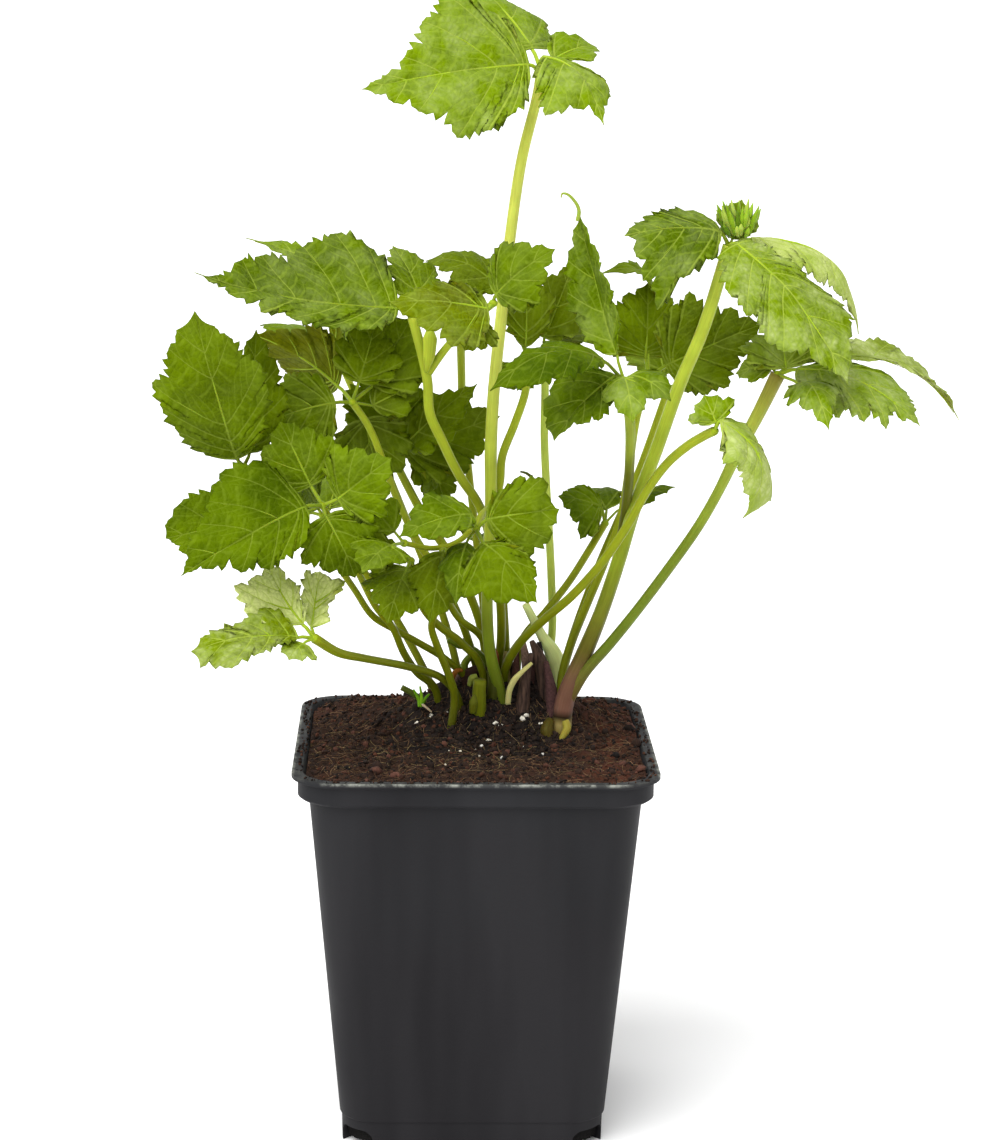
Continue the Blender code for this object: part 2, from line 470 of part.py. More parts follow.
# Half outlines of a leaflet, as shares of its length and of its half width: from the base
# to the tip, with a tooth at each odd point and a notch at each even one. Where the two halves
# differ, an entry holds the point of one half and then the point of the other.
OUTLINES = {
    "lobed": [
        (0, 0), (0.04, 0.38), (0.08, 0.54), (0.11, 0.86), (0.19, 0.80), (0.28, 1.06), (0.36, 0.88),
        (0.48, 1.12), (0.53, 0.68), (0.62, 0.78), (0.68, 0.50), (0.77, 0.53), (0.82, 0.28),
        (0.90, 0.24), (1, 0)],
    "palmate": [
        (0, 0), (0.03, 0.44), (0.07, 0.56), (0.09, 0.90), (0.18, 0.84), (0.26, 1.10), (0.34, 0.86),
        (0.44, 1.12), (0.50, 0.62), (0.60, 0.74), (0.66, 0.46), (0.76, 0.50), (0.81, 0.26),
        (0.90, 0.22), (1, 0)],
    "simple": [
        (0, 0), (0.03, 0.46), (0.12, 0.62), (0.20, 1.0), (0.32, 0.86), (0.46, 1.08), (0.54, 0.66),
        (0.67, 0.70), (0.76, 0.40), (0.88, 0.32), (1, 0)],
    "oval": [
        (0, 0), (0.04, 0.44), (0.13, 0.62), (0.24, 0.98), (0.35, 0.88), (0.49, 1.04), (0.58, 0.78),
        (0.70, 0.76), (0.79, 0.44), (0.89, 0.33), (1, 0)],
    "small": [(0, 0), (0.08, 0.60), (0.24, 0.78), (0.42, 1.06), (0.58, 0.68), (0.79, 0.56), (1, 0)],
    "wide": [
        (0, 0), (0.07, 0.36), (0.16, 0.46), (0.34, 0.84), (0.46, 0.78), (0.67, 1.10), (0.72, 0.52),
        (0.80, 0.46), (0.83, 0.24), (0.91, 0.20), (1, 0)],
    "tapered": [
        (0, 0), (0.03, 0.44), (0.07, 0.58), (0.12, 0.92), (0.20, 0.86), (0.30, 1.12), (0.38, 0.84),
        (0.48, 0.88), (0.54, 0.56), (0.62, 0.54), (0.68, 0.36), (0.77, 0.36), (0.82, 0.20),
        (0.90, 0.16), (1, 0)],
    "broad": [
        (0, 0), (0.08, 0.32), (0.16, 0.40), (0.30, 0.70), (0.38, 0.68), (0.56, 1.05), (0.64, 0.78),
        (0.78, 0.72), (0.84, 0.42), (0.92, 0.30), (1, 0)],
    "fan": [
        (0, 0), (0.12, 0.36), (0.24, 0.46), (0.45, 0.88), (0.56, 0.82), (0.74, 1.06), (0.80, 0.66),
        (0.90, 0.68), (0.92, 0.36), (0.98, 0.32), (1, 0)],
    "strap": [
        (0, 0), (0.04, 0.44), (0.13, 0.62), (0.26, 0.95), (0.36, 0.88), (0.49, 1.0), (0.60, 0.82),
        (0.69, 0.72), (0.73, 0.34), (0.85, 0.36), (1, 0)],
    "top_main": [
        (0, 0), (0.03, 0.44, 0.06, 0.42), (0.07, 0.58, 0.08, 0.50), (0.12, 0.92, 0.22, 0.90),
        (0.20, 0.88, 0.28, 0.92), (0.42, 1.28, 0.36, 1.04), (0.47, 0.96, 0.44, 0.98),
        (0.56, 0.93, 0.54, 1.08), (0.60, 0.54, 0.57, 0.70), (0.72, 0.34, 0.72, 0.58),
        (0.76, 0.18, 0.76, 0.36), (0.85, 0.13, 0.84, 0.33), (0.88, 0.10, 0.88, 0.19),
        (0.94, 0.08, 0.93, 0.14), (1, 0)],
    "top_side": [
        (0, 0), (0.08, 0.30, 0.06, 0.30), (0.16, 0.42, 0.14, 0.40), (0.34, 0.86, 0.32, 0.78),
        (0.50, 0.90, 0.48, 0.48), (0.76, 1.16, 0.64, 0.70), (0.78, 0.66, 0.70, 0.58),
        (0.81, 0.46, 0.78, 0.42), (0.82, 0.20, 0.84, 0.24), (0.90, 0.13, 0.90, 0.14), (1, 0)],
    "upper_left": [
        (0, 0), (0.03, 0.56, 0.03, 0.28), (0.05, 0.76, 0.07, 0.34), (0.14, 1.14, 0.14, 0.46),
        (0.20, 1.18, 0.22, 0.42), (0.29, 1.28, 0.34, 0.50), (0.36, 1.16, 0.42, 0.44),
        (0.44, 1.06, 0.51, 0.44), (0.53, 0.66, 0.57, 0.22), (0.66, 0.62, 0.66, 0.44),
        (0.70, 0.50, 0.67, 0.20), (0.76, 0.44, 0.82, 0.19), (0.82, 0.20, 0.84, 0.08),
        (0.89, 0.07, 0.92, 0.08), (1, 0)],
    "left_upper": [
        (0, 0), (0.06, 0.36, 0.06, 0.44), (0.12, 0.46, 0.12, 0.60), (0.26, 0.80, 0.28, 0.91),
        (0.32, 0.84, 0.34, 0.96), (0.44, 1.02, 0.45, 1.14), (0.50, 0.96, 0.50, 1.12),
        (0.60, 0.98, 0.60, 1.18), (0.66, 0.68, 0.63, 0.78), (0.80, 0.53, 0.80, 0.66),
        (0.84, 0.40, 0.84, 0.53), (0.88, 0.30, 0.90, 0.44), (1, 0)],
    "left_front": [
        (0, 0), (0.04, 0.66, 0.05, 0.28), (0.07, 0.94, 0.10, 0.40), (0.09, 1.08, 0.20, 0.58),
        (0.22, 1.14, 0.26, 0.56), (0.38, 1.24, 0.38, 0.66), (0.42, 1.04, 0.41, 0.60),
        (0.56, 0.84, 0.48, 0.70), (0.62, 0.70, 0.54, 0.48), (0.70, 0.58, 0.65, 0.50),
        (0.76, 0.46, 0.68, 0.22), (0.86, 0.32, 0.84, 0.14), (0.90, 0.20, 0.86, 0.05),
        (0.95, 0.10, 0.93, 0.04), (1, 0)],
    "left_side": [
        (0, 0), (0.05, 0.40, 0.05, 0.30), (0.12, 0.60, 0.12, 0.40), (0.26, 1.06, 0.26, 0.58),
        (0.36, 1.08, 0.36, 0.58), (0.53, 1.22, 0.60, 0.68), (0.62, 1.02, 0.70, 0.54),
        (0.84, 0.80, 0.89, 0.48), (0.92, 0.54, 0.91, 0.30), (0.98, 0.32, 0.96, 0.15), (1, 0)],
    "low_main": [
        (0, 0), (0.04, 0.46, 0.04, 0.20), (0.10, 0.66, 0.10, 0.26), (0.24, 0.96, 0.22, 0.36),
        (0.34, 0.76, 0.30, 0.46), (0.48, 0.60, 0.44, 0.80), (0.60, 0.32, 0.52, 0.86),
        (0.74, 0.38, 0.70, 1.26), (0.80, 0.32, 0.88, 0.66), (0.88, 0.34, 0.95, 0.78), (1, 0)],
    "low_upper": [
        (0, 0), (0.08, 0.16, 0.08, 0.48), (0.16, 0.20, 0.16, 0.68), (0.34, 0.30, 0.36, 1.16),
        (0.44, 0.30, 0.58, 1.06), (0.60, 0.38, 0.84, 1.08), (0.66, 0.26, 0.78, 0.72),
        (0.83, 0.26, 0.84, 0.56), (0.86, 0.15, 0.83, 0.30), (0.93, 0.12, 0.88, 0.18), (1, 0)],
    "low_upright": [
        (0, 0), (0.12, 0.60, 0.08, 0.20), (0.20, 0.50, 0.16, 0.30), (0.36, 0.50, 0.30, 0.42),
        (0.50, 0.47, 0.40, 0.41), (0.72, 0.70, 0.60, 0.50), (0.73, 0.64, 0.70, 0.46),
        (0.88, 0.92, 0.96, 0.52), (0.90, 0.50, 0.92, 0.30), (0.96, 0.22, 0.97, 0.18), (1, 0)],
    "centre_right": [
        (0, 0), (0.08, 0.34, 0.08, 0.34), (0.16, 0.45, 0.16, 0.40), (0.30, 0.78, 0.28, 0.55),
        (0.38, 0.78, 0.34, 0.42), (0.50, 0.88, 0.52, 0.74), (0.60, 0.76, 0.62, 0.61),
        (0.79, 0.62, 0.81, 0.66), (0.82, 0.34, 0.85, 0.38), (0.92, 0.28, 0.92, 0.10), (1, 0)],
    "centre_low": [
        (0, 0), (0.06, 0.25, 0.06, 0.12), (0.12, 0.36, 0.14, 0.17), (0.28, 0.94, 0.30, 0.34),
        (0.36, 0.98, 0.38, 0.32), (0.50, 1.12, 0.52, 0.44), (0.60, 0.82, 0.60, 0.35),
        (0.79, 0.62, 0.71, 0.37), (0.84, 0.42, 0.78, 0.25), (0.95, 0.16, 0.86, 0.20), (1, 0)],
    "right_left": [
        (0, 0), (0.03, 0.48, 0.08, 0.34), (0.08, 0.60, 0.10, 0.42), (0.18, 0.72, 0.17, 0.62),
        (0.26, 0.67, 0.28, 0.60), (0.38, 0.60, 0.50, 0.96), (0.50, 0.47, 0.61, 0.92),
        (0.58, 0.45, 0.86, 1.52), (0.64, 0.41, 0.82, 0.92), (0.70, 0.44, 0.94, 0.88),
        (0.76, 0.31, 0.88, 0.60), (0.82, 0.30, 0.94, 0.46), (0.86, 0.20, 0.91, 0.16),
        (0.92, 0.17, 0.94, 0.06), (1, 0)],
    "right_main": [
        (0, 0), (0.02, 0.46, 0.02, 0.28), (0.07, 0.50, 0.06, 0.33), (0.24, 0.82, 0.16, 0.40),
        (0.32, 0.86, 0.22, 0.48), (0.42, 0.96, 0.27, 0.54), (0.43, 0.72, 0.38, 0.53),
        (0.60, 0.88, 0.57, 0.98), (0.64, 0.76, 0.60, 0.90), (0.69, 0.72, 0.64, 0.91),
        (0.74, 0.34, 0.68, 0.72), (0.84, 0.30, 0.73, 0.70), (0.87, 0.19, 0.79, 0.45),
        (0.92, 0.12, 0.90, 0.29), (1, 0)],
    "far_main": [
        (0, 0), (0.04, 0.38, 0.04, 0.30), (0.10, 0.54, 0.10, 0.40), (0.24, 0.84, 0.22, 0.50),
        (0.32, 0.78, 0.30, 0.58), (0.48, 1.06, 0.45, 0.94), (0.46, 0.72, 0.54, 0.93),
        (0.67, 0.86, 0.69, 1.22), (0.65, 0.54, 0.72, 1.0), (0.83, 0.62, 0.80, 0.68),
        (0.73, 0.18, 0.84, 0.48), (0.89, 0.25, 0.89, 0.31), (0.90, 0.12, 0.92, 0.20),
        (0.95, 0.08, 0.95, 0.12), (1, 0)],
    "front_main": [
        (0, 0), (0.06, 0.34, 0.05, 0.40), (0.12, 0.48, 0.12, 0.52), (0.25, 1.12, 0.22, 0.52),
        (0.38, 0.94, 0.36, 0.40), (0.54, 0.86, 0.55, 0.94), (0.60, 0.70, 0.63, 1.02),
        (0.76, 0.54, 0.74, 1.24), (0.84, 0.22, 0.82, 0.84), (0.89, 0.14, 0.89, 0.42), (1, 0)],
    "long_left": [
        (0, 0), (0.04, 0.44, 0.04, 0.40), (0.12, 0.60, 0.13, 0.55), (0.24, 0.82, 0.26, 0.74),
        (0.34, 0.72, 0.36, 0.77), (0.48, 0.58, 0.52, 0.92), (0.58, 0.45, 0.62, 0.90),
        (0.70, 0.36, 0.74, 0.88), (0.78, 0.29, 0.82, 0.68), (0.89, 0.26, 0.92, 0.27), (1, 0)],
    "hanging": [
        (0, 0), (0.05, 0.30, 0.06, 0.27), (0.12, 0.42, 0.12, 0.35), (0.28, 0.75, 0.30, 0.54),
        (0.38, 0.85, 0.38, 0.52), (0.52, 0.91, 0.56, 0.62), (0.64, 0.84, 0.58, 0.42),
        (0.80, 0.68, 0.70, 0.36), (0.86, 0.52, 0.74, 0.18), (0.93, 0.34, 0.86, 0.12), (1, 0)],
}


def leaflet(base, tip, width, face, shape="simple", **form):
    """One leaflet. Base and tip are (x, z, y) seen, and face is the way its upper side looks.
    Arch lifts the middle of the midrib, hook bends its tip down and sweep bows it sideways, in
    millimetres. Fold raises both halves and roll turns the edges down, in degrees. Skew widens
    one half at the cost of the other, and twist turns the tip, in degrees."""
    made = {"base": seen(*base), "tip": seen(*tip), "half": width / 2, "face": Vector(face)}
    made["shape"] = shape
    made["phase"] = (0.37 * base[0] + 0.21 * tip[1]) % 1.0
    for length in ("arch", "hook", "sweep", "skew"):
        made[length] = form.get(length, 0.0)
    for angle in ("fold", "roll", "twist"):
        made[angle] = math.radians(form.get(angle, 0.0))
    return made


# Each leaf: the petiole that carries it, then its leaflets
LEAVES = {
    "leaf_top": ("stalk_top", [
        leaflet((14.5, 327, -8), (-35.5, 319, -24), 36, (-0.1, -0.9, 0.35), "top_main", arch=3,
                fold=10, roll=14),
        leaflet((18.5, 329.5, -9), (37, 309, -30), 26, (0.35, -0.6, 0.7), "top_side", arch=6,
                fold=-8, roll=30),
        leaflet((15.5, 331.5, 0), (-4, 350, 26), 30, (0.2, -0.5, 0.8), arch=3, fold=-12, roll=20),
        leaflet((21.5, 328.5, -4), (34.5, 332, 8), 15, (0, -0.6, 0.8), "small", arch=2, fold=10),
    ]),
    "leaf_upper_left": ("stalk_bud", [
        leaflet((-24, 254, -17), (-85.5, 264, -34), 36, (0.0, -0.75, 0.66), "upper_left",
                arch=-4, fold=8, roll=8),
        leaflet((-26, 256, -8), (-70, 274.5, 6), 13, (0.0, -0.3, 0.95), "small", arch=2, fold=10),
        leaflet((-17, 255, -9), (-26, 272.5, 10), 15, (0.2, -0.5, 0.8), arch=2, fold=10),
    ]),
    "leaf_upper_middle": ("arm_bud", [
        leaflet((3, 254, -26), (-27, 255.5, -34), 22, (-0.1, -0.75, 0.65), "simple", arch=2,
                fold=4, skew=-0.4),
        leaflet((5, 258, -25), (23, 272, -28), 21, (0.0, -0.75, 0.65), arch=2, fold=10, roll=20),
        leaflet((1, 251, -28), (-4, 241, -29), 14, (0.1, -0.9, 0.4), "simple", arch=2, roll=16),
    ]),
    "leaf_right_top": ("stalk_right", [
        leaflet((73.2, 277.6, -17), (43.7, 276.1, -28), 31, (0.0, -0.72, 0.7), "right_left", arch=3,
                fold=-8, roll=28),
        leaflet((77.6, 274.5, -20), (112.9, 231.4, -44), 36, (0.45, -0.75, 0.5), "right_main",
                arch=5, fold=-2, roll=18),
        leaflet((82, 276, -6), (115.5, 247, -2), 23, (0.6, -0.1, 0.8), arch=11, fold=-16, roll=30),
        leaflet((76.5, 275.5, -14), (79, 287.5, -9), 12, (0.1, -0.9, 0.3), "small", fold=15),
    ]),
    "leaf_far_right": ("petiole_far_right", [
        leaflet((98, 239, 4), (147.6, 220.3, 28), 17, (0.2, -0.25, 0.95), "strap", arch=10.5, fold=12,
                roll=0),
        leaflet((97, 236.5, -13), (135.4, 219, -28), 27, (0.35, -0.6, 0.72), "far_main", arch=6,
                fold=-6, roll=26),
        leaflet((98, 232, -23), (107.5, 217.5, -44), 15, (0.0, -0.65, 0.75), arch=6, fold=-6,
                roll=30),
        leaflet((94, 236.5, -10), (90.5, 248.5, 0), 24, (0.0, -0.8, 0.6), "simple", arch=2, fold=8),
        leaflet((89.5, 236.5, -9), (78.5, 234.5, -2), 9, (0.0, -0.8, 0.6), "small", arch=2),
    ]),
    "leaf_mid_right": ("petiole_mid_right", [
        leaflet((42, 240, -23), (30, 283, -14), 16, (-0.62, -0.78, 0.1), "oval", arch=-2,
                fold=32, sweep=-2),
        leaflet((38, 239, -36), (4, 230.5, -54), 20, (0.05, -0.45, 0.9), "long_left", arch=7,
                fold=-6, roll=25, hook=2),
        leaflet((42, 234, -29), (23.5, 213.5, -39.5), 23.6, (-0.35, -0.85, 0.35), "hanging", arch=4,
                fold=6, roll=24),
        leaflet((44.5, 233.5, -31), (47.5, 219, -44), 14, (0.0, -0.8, 0.55), "small", arch=3,
                roll=30),
        leaflet((46.5, 234, -29), (59, 226, -38), 13, (0.2, -0.8, 0.55), "small", arch=3, roll=30),
    ]),
    "leaf_behind_right": ("petiole_behind_right", [
        leaflet((51, 239, 24), (51, 262, 30), 29, (0.1, -0.95, 0.3), "lobed", arch=2, fold=8, roll=10),
        leaflet((57, 237, 17), (86.5, 250, 10), 27, (0.1, -0.95, 0.3), "lobed", arch=3, fold=8,
                roll=10, skew=-0.1),
        leaflet((51.5, 254, 33), (36.5, 264.5, 22), 11, (-0.3, -0.5, 0.8), "small", arch=9),
    ]),
    "leaf_front_right": ("petiole_front_right", [
        leaflet((74, 220.4, -34), (81.9, 190, -40), 20, (0.75, -0.6, 0.35), "front_main", arch=8,
                fold=-10, roll=20, sweep=-4.5),
        leaflet((73, 219.5, -33), (69, 228, -31), 13, (-0.2, -0.8, 0.5), "small", arch=1, fold=5),
    ]),
    "leaf_edge_right": ("petiole_edge_right", [
        leaflet((44, 193, 37), (61, 199.5, 42), 9, (0.0, -0.3, 0.95), "small", arch=2, roll=20),
        leaflet((38.5, 193.5, 35.5), (25, 196.5, 31), 18, (0.1, -0.7, 0.7), "simple", arch=1, roll=20,
                skew=-0.3),
        leaflet((40, 192.5, 40), (33, 198, 58), 16, (0.0, -0.5, 0.85), "small", arch=3, roll=20),
    ]),
    "leaf_left_upper": ("petiole_left_upper", [
        leaflet((-73, 207, -29), (-85.5, 252.5, -40), 29, (-0.15, -0.95, 0.2), "left_upper",
                arch=3, fold=6, roll=12),
        leaflet((-69, 209, -25), (-67, 247, -18), 19, (0.5, -0.85, 0.15), "oval", fold=10),
    ]),
    "leaf_left_front": ("petiole_left_front", [
        leaflet((-52, 193, -38), (-90.4, 170.8, -55), 33, (-0.15, -0.95, 0.3), "left_front", arch=4,
                fold=5, roll=16),
        leaflet((-54, 190, -31), (-95, 182.5, -38), 22, (-0.1, -0.9, 0.4), "left_side", arch=3,
                fold=5, roll=16),
        leaflet((-50.5, 199, -29), (-60, 219, -26), 24, (0.0, -0.95, 0.3), "simple", arch=2, fold=6,
                roll=10, skew=-0.1),
        leaflet((-42.5, 195, -33), (-26, 208, -37), 23, (0.05, -0.95, 0.3), arch=2, fold=6, roll=10),
        leaflet((-46, 190, -35), (-37, 170.5, -38), 22.5, (0.1, -0.9, 0.4), arch=3, fold=4, roll=4),
    ]),
    "leaf_left_back": ("petiole_left_back", [
        leaflet((-42, 230, -3), (-67.5, 245.5, 2), 24, (0.25, 0.8, 0.5), "lobed", arch=2.4, fold=6),
        leaflet((-43, 225, -13), (-67, 217, -9), 22, (-0.1, -0.9, 0.4), "lobed", arch=3.2, fold=4,
                roll=16),
        leaflet((-36, 231, -12), (-31, 250, -6), 19, (0.2, -0.9, 0.3), arch=1.6, fold=8),
        leaflet((-32, 230, -8), (-20, 251, -1), 24, (0.1, -0.9, 0.4), "simple", arch=1.6, fold=6),
        leaflet((-32, 224, -9), (-17, 231, -4), 14, (0.2, -0.8, 0.5), "small", arch=1.6, fold=8),
        leaflet((-34.5, 220, -0.5), (-29, 197, 3), 23.5, (0.1, -0.95, 0.3), arch=2.4, fold=5, roll=12),
    ]),
    "leaf_left_low": ("petiole_left_low", [
        leaflet((-54.5, 152, -49), (-87.5, 147, -58), 19, (0.1, -0.55, 0.83), "low_main", arch=3,
                fold=12, roll=10),
        leaflet((-53, 156, -45), (-64.6, 176, -36), 24, (0.3, -0.8, 0.5), "low_upper", arch=-2,
                fold=10),
        leaflet((-50.3, 155, -42), (-47.8, 172.6, -30), 16, (0.15, -0.85, 0.45), "low_upright",
                arch=-2, fold=14),
        leaflet((-53, 150, -50), (-57.5, 144.5, -58), 12, (0.0, -0.7, 0.7), "small", arch=1,
                fold=-5),
    ]),
    "leaf_centre_back": ("petiole_centre_back", [
        leaflet((-22, 212, 5), (0, 231, 2), 15, (-0.2, -0.75, 0.55), arch=1.6, fold=10, skew=0.35),
        leaflet((-22, 209.5, 12.5), (7, 221, 18), 25, (0.1, -0.9, 0.4), arch=2.4, fold=6, roll=10),
        leaflet((-19, 209.5, 15.5), (-8.5, 202, 24), 18, (0.1, -0.9, 0.4), arch=1.6, fold=6),
        leaflet((-13.5, 207, 17.5), (-9.3, 193.2, 24), 11, (0.1, -0.9, 0.4), "oval", arch=0.8),
        leaflet((-28, 213, 13), (-29, 244, 18), 23, (0.1, -0.9, 0.4), arch=2.4, fold=6, roll=10),
    ]),
    "leaf_centre_front": ("petiole_centre_front", [
        leaflet((-1, 190.5, -36), (-23.5, 183.5, -44), 15, (0.0, -0.65, 0.75), "oval", arch=3,
                fold=10),
        leaflet((3, 189, -35), (25.5, 192.5, -36), 28, (0.05, -0.95, 0.3), "centre_right", arch=3,
                fold=6, roll=12),
        leaflet((2, 182, -40), (19, 163, -56), 28, (0.1, -0.85, 0.5), "centre_low", arch=4, fold=5,
                roll=20),
        leaflet((-3, 182, -37), (-6, 162, -46), 13, (-0.1, -0.85, 0.5), "small", arch=5, fold=-8,
                roll=30),
    ]),
    "leaf_arched_left": ("petiole_arched_left", [
        leaflet((-25, 185, -27), (-34.5, 197, -22), 12, (-0.2, -0.9, 0.3), "small", arch=1, fold=10),
        leaflet((-26, 181, -38.5), (-35, 172, -55), 16, (-0.2, -0.8, 0.5), "small", arch=2),
    ]),
    "leaf_low_dark": ("petiole_low_dark", [
        leaflet((-10, 179, -31), (-14, 156, -40), 16, (0.0, -0.9, 0.4), "small", arch=3, roll=20),
    ]),
    "leaf_low_left": ("petiole_low_left", [
        leaflet((-21, 174, -29), (-27, 156, -39), 20, (-0.1, -0.9, 0.4), arch=3, roll=20),
        leaflet((-24, 178.5, -29), (-52, 178.5, -32), 12, (0.1, -0.9, 0.4), "simple", arch=2),
    ]),
    "leaf_middle": ("petiole_middle", [
        leaflet((20, 245, 12), (29, 268, 16), 17, (0.0, -0.95, 0.3), arch=2, fold=8),
        leaflet((23, 244, 17), (34, 250, 38), 19, (0.1, -0.4, 0.9), arch=3, fold=8),
    ]),
    "leaf_stalk_side": ("petiole_stalk_side", [
        leaflet((14.5, 242, 4), (14, 262, 6), 16, (0.2, -0.9, 0.3), "fan", arch=2, fold=10),
        leaflet((7, 260, 10), (-16, 268, 20), 15, (0.0, -0.6, 0.8), "simple", arch=5, roll=20),
        leaflet((12, 236.5, 7.2), (9, 229.5, 10), 13, (0.1, -0.9, 0.4), "simple", arch=1),
    ]),
    "leaf_rear_left": ("petiole_rear_left", [
        leaflet((-46, 240, 45), (-66, 248, 60), 20, (-0.4, 0.3, 0.85), "small", arch=4, roll=25),
        leaflet((-39, 240, 48), (-27, 253, 70), 20, (0.3, 0.4, 0.85), "small", arch=4, roll=25),
        leaflet((-43, 242, 41), (-48, 256, 26), 17, (0.0, -0.6, 0.8), "small", arch=3, roll=20),
    ]),
    "leaf_rear_low": ("petiole_rear_low", [
        leaflet((-51, 191, 43), (-79, 198, 50), 20, (-0.3, 0.4, 0.85), "small", arch=4, roll=25),
        leaflet((-45, 192, 47), (-38, 202, 70), 20, (0.1, 0.5, 0.85), "small", arch=4, roll=25),
        leaflet((-49, 193, 40), (-62, 208, 30), 17, (-0.3, -0.6, 0.75), "small", arch=3, roll=20),
    ]),
    "leaf_rear_middle": ("petiole_rear_middle", [
        leaflet((2, 181, 48), (-15, 189, 62), 16, (-0.3, 0.5, 0.8), "small", arch=4, roll=25),
        leaflet((8, 181, 49), (20, 188, 66), 16, (0.3, 0.5, 0.8), "small", arch=4, roll=25),
    ]),
    "leaf_rear_right": ("petiole_rear_right", [
        leaflet((57, 234, 52), (52, 250, 74), 20, (-0.2, 0.5, 0.85), "small", arch=4, roll=25),
        leaflet((62, 232, 49), (84, 242, 58), 20, (0.4, 0.3, 0.85), "small", arch=4, roll=25),
    ]),
}


def midrib_frame(leaf, a):
    """Point, tangent, side and normal of the midrib at share a of its length."""
    chord = leaf["tip"] - leaf["base"]
    ahead = chord.normalized()
    normal = (leaf["face"] - leaf["face"].dot(ahead) * ahead).normalized()
    side = ahead.cross(normal)

    def at(share):
        bow = 4 * share * (1 - share)
        droop = max(0.0, share - 0.55) / 0.45
        lift = leaf["arch"] * bow - leaf["hook"] * droop * droop
        return leaf["base"] + chord * share + normal * lift + side * leaf["sweep"] * bow

    inside = min(max(a, 0.0), 1.0)
    step = 0.02
    low, high = max(inside - step, 0.0), min(inside + step, 1.0)
    tangent = (at(high) - at(low)).normalized()
    normal = (normal - normal.dot(tangent) * tangent).normalized()
    side = tangent.cross(normal)
    turn = leaf["twist"] * inside
    turned_side = side * math.cos(turn) + normal * math.sin(turn)
    turned_normal = normal * math.cos(turn) - side * math.sin(turn)
    return at(inside) + tangent * (a - inside) * chord.length, tangent, turned_side, turned_normal


def blade_point(leaf, along, across):
    """Where the blade passes at a share of its length and a signed share of its half width,
    and the direction that its upper side faces there."""
    point, _, side, normal = midrib_frame(leaf, along)
    half = leaf["half"] * (1 + math.copysign(leaf["skew"], across * leaf["skew"]))
    out = math.copysign(1.0, across)
    share = abs(across)
    angle = leaf["fold"] - leaf["roll"] * share / 2
    slope = (leaf["fold"] - leaf["roll"] * share) if across else 0.0
    wave = math.sin(math.tau * (WAVES * along + 0.35 * out + leaf["phase"])) * share**1.5
    reach = share * half
    lift = reach * math.sin(angle) + WAVE * half * wave
    upper = normal * math.cos(slope) - side * out * math.sin(slope)
    return point + side * out * reach * math.cos(angle) + normal * lift, upper


def half_outline(leaf, out):
    """The points of a leaflet's outline as (along, across) on the side out."""
    return [entry[:2] if out > 0 else entry[-2:] for entry in OUTLINES[leaf["shape"]]]


def toothed_edge(leaf, out):
    """Half outline as (along, across) for the side out, with the teeth a little uneven."""
    edge = []
    for i, (a, b) in enumerate(half_outline(leaf, out)):
        uneven = 1 + 0.03 * math.sin(5.1 * i + 2.3 * out + 31 * leaf["phase"])
        edge.append((a, b * uneven))
    return edge


def blade(leaf, hub):
    """A closed thin blade with its stalklet: a strip from the hub to the base, then a midrib
    row, a middle row where the blade is wide, and a toothed edge on each side."""
    count = len(OUTLINES[leaf["shape"]]) - 1
    roots = [(i / count) ** 1.3 for i in range(0, count + 1, 2)]
    skin, faces = [], []

    def add(point, lift):
        skin.append((point, lift))
        return len(skin) - 1

    def add_blade(along, across):
        point, upper = blade_point(leaf, along, across)
        return add(point, upper * BLADE_THICK / 2)

    base, _, side, normal = midrib_frame(leaf, 0.0)
    ahead = (base - hub).normalized()
    level = (normal - normal.dot(ahead) * ahead).normalized()
    across_strip = ahead.cross(level)
    mitre = (across_strip + side).normalized()
    root = hub + ahead * HUB_RADIUS * 0.3
    start = [add(root + across_strip * STALKLET * out, level * STALKLET) for out in (0, 1, -1)]
    spine = [add(base, normal * STALKLET)] + [add_blade(root, 0.0) for root in roots[1:]]
    for out in (1, -1):
        edge = toothed_edge(leaf, out)
        shoulder = add(base + (mitre * out - ahead) * STALKLET, normal * STALKLET)
        rim = [shoulder, *[add_blade(a, out * b) for a, b in edge[1:-1]], spine[-1]]
        middle = spine
        if leaf["half"] > NARROW_HALF:
            notches = list(zip(roots, edge[::2]))[1:-1]
            inner = [add_blade((root + a) / 2, out * b / 2) for root, (a, b) in notches]
            middle = [spine[0], *inner, spine[-1]]
        strips = [(start[0], spine[0], shoulder), (start[0], shoulder, start[out])]
        for k in range(len(roots) - 1):
            s0, s1, m0, m1 = spine[k], spine[k + 1], middle[k], middle[k + 1]
            e0, e1, e2 = rim[2 * k : 2 * k + 3]
            strips += [(s0, s1, m1), (s0, m1, m0), (m0, m1, e1), (m0, e1, e0), (m1, e2, e1)]
        for tri in strips:
            if len(set(tri)) == 3:
                faces.append(tri if out > 0 else tri[::-1])
    total = len(skin)
    points = [p + lift for p, lift in skin] + [p - lift for p, lift in skin]
    shell = [list(tri) for tri in faces] + [[i + total for i in reversed(tri)] for tri in faces]
    edges = {(tri[i], tri[(i + 1) % 3]) for tri in faces for i in range(3)}
    for a, b in sorted(edges):
        if (b, a) not in edges:
            shell += [[b, a, a + total], [b, a + total, b + total]]
    return mesh_of(points, shell)


def make_leaf(name, hub, leaflets, collection):
    """A leaf: its leaflets joined to a small hub at the petiole's top."""
    shape = bmesh.new()
    bmesh.ops.create_icosphere(shape, subdivisions=1, radius=HUB_RADIUS * MM)
    bmesh.ops.translate(shape, verts=shape.verts, vec=hub * MM)
    mesh = bpy.data.meshes.new(name)
    shape.to_mesh(mesh)
    shape.free()
    leaf = new_object(name, mesh, collection, "leaf_green")
    return join(leaf, [new_object("blade", blade(item, hub), collection) for item in leaflets], "UNION")


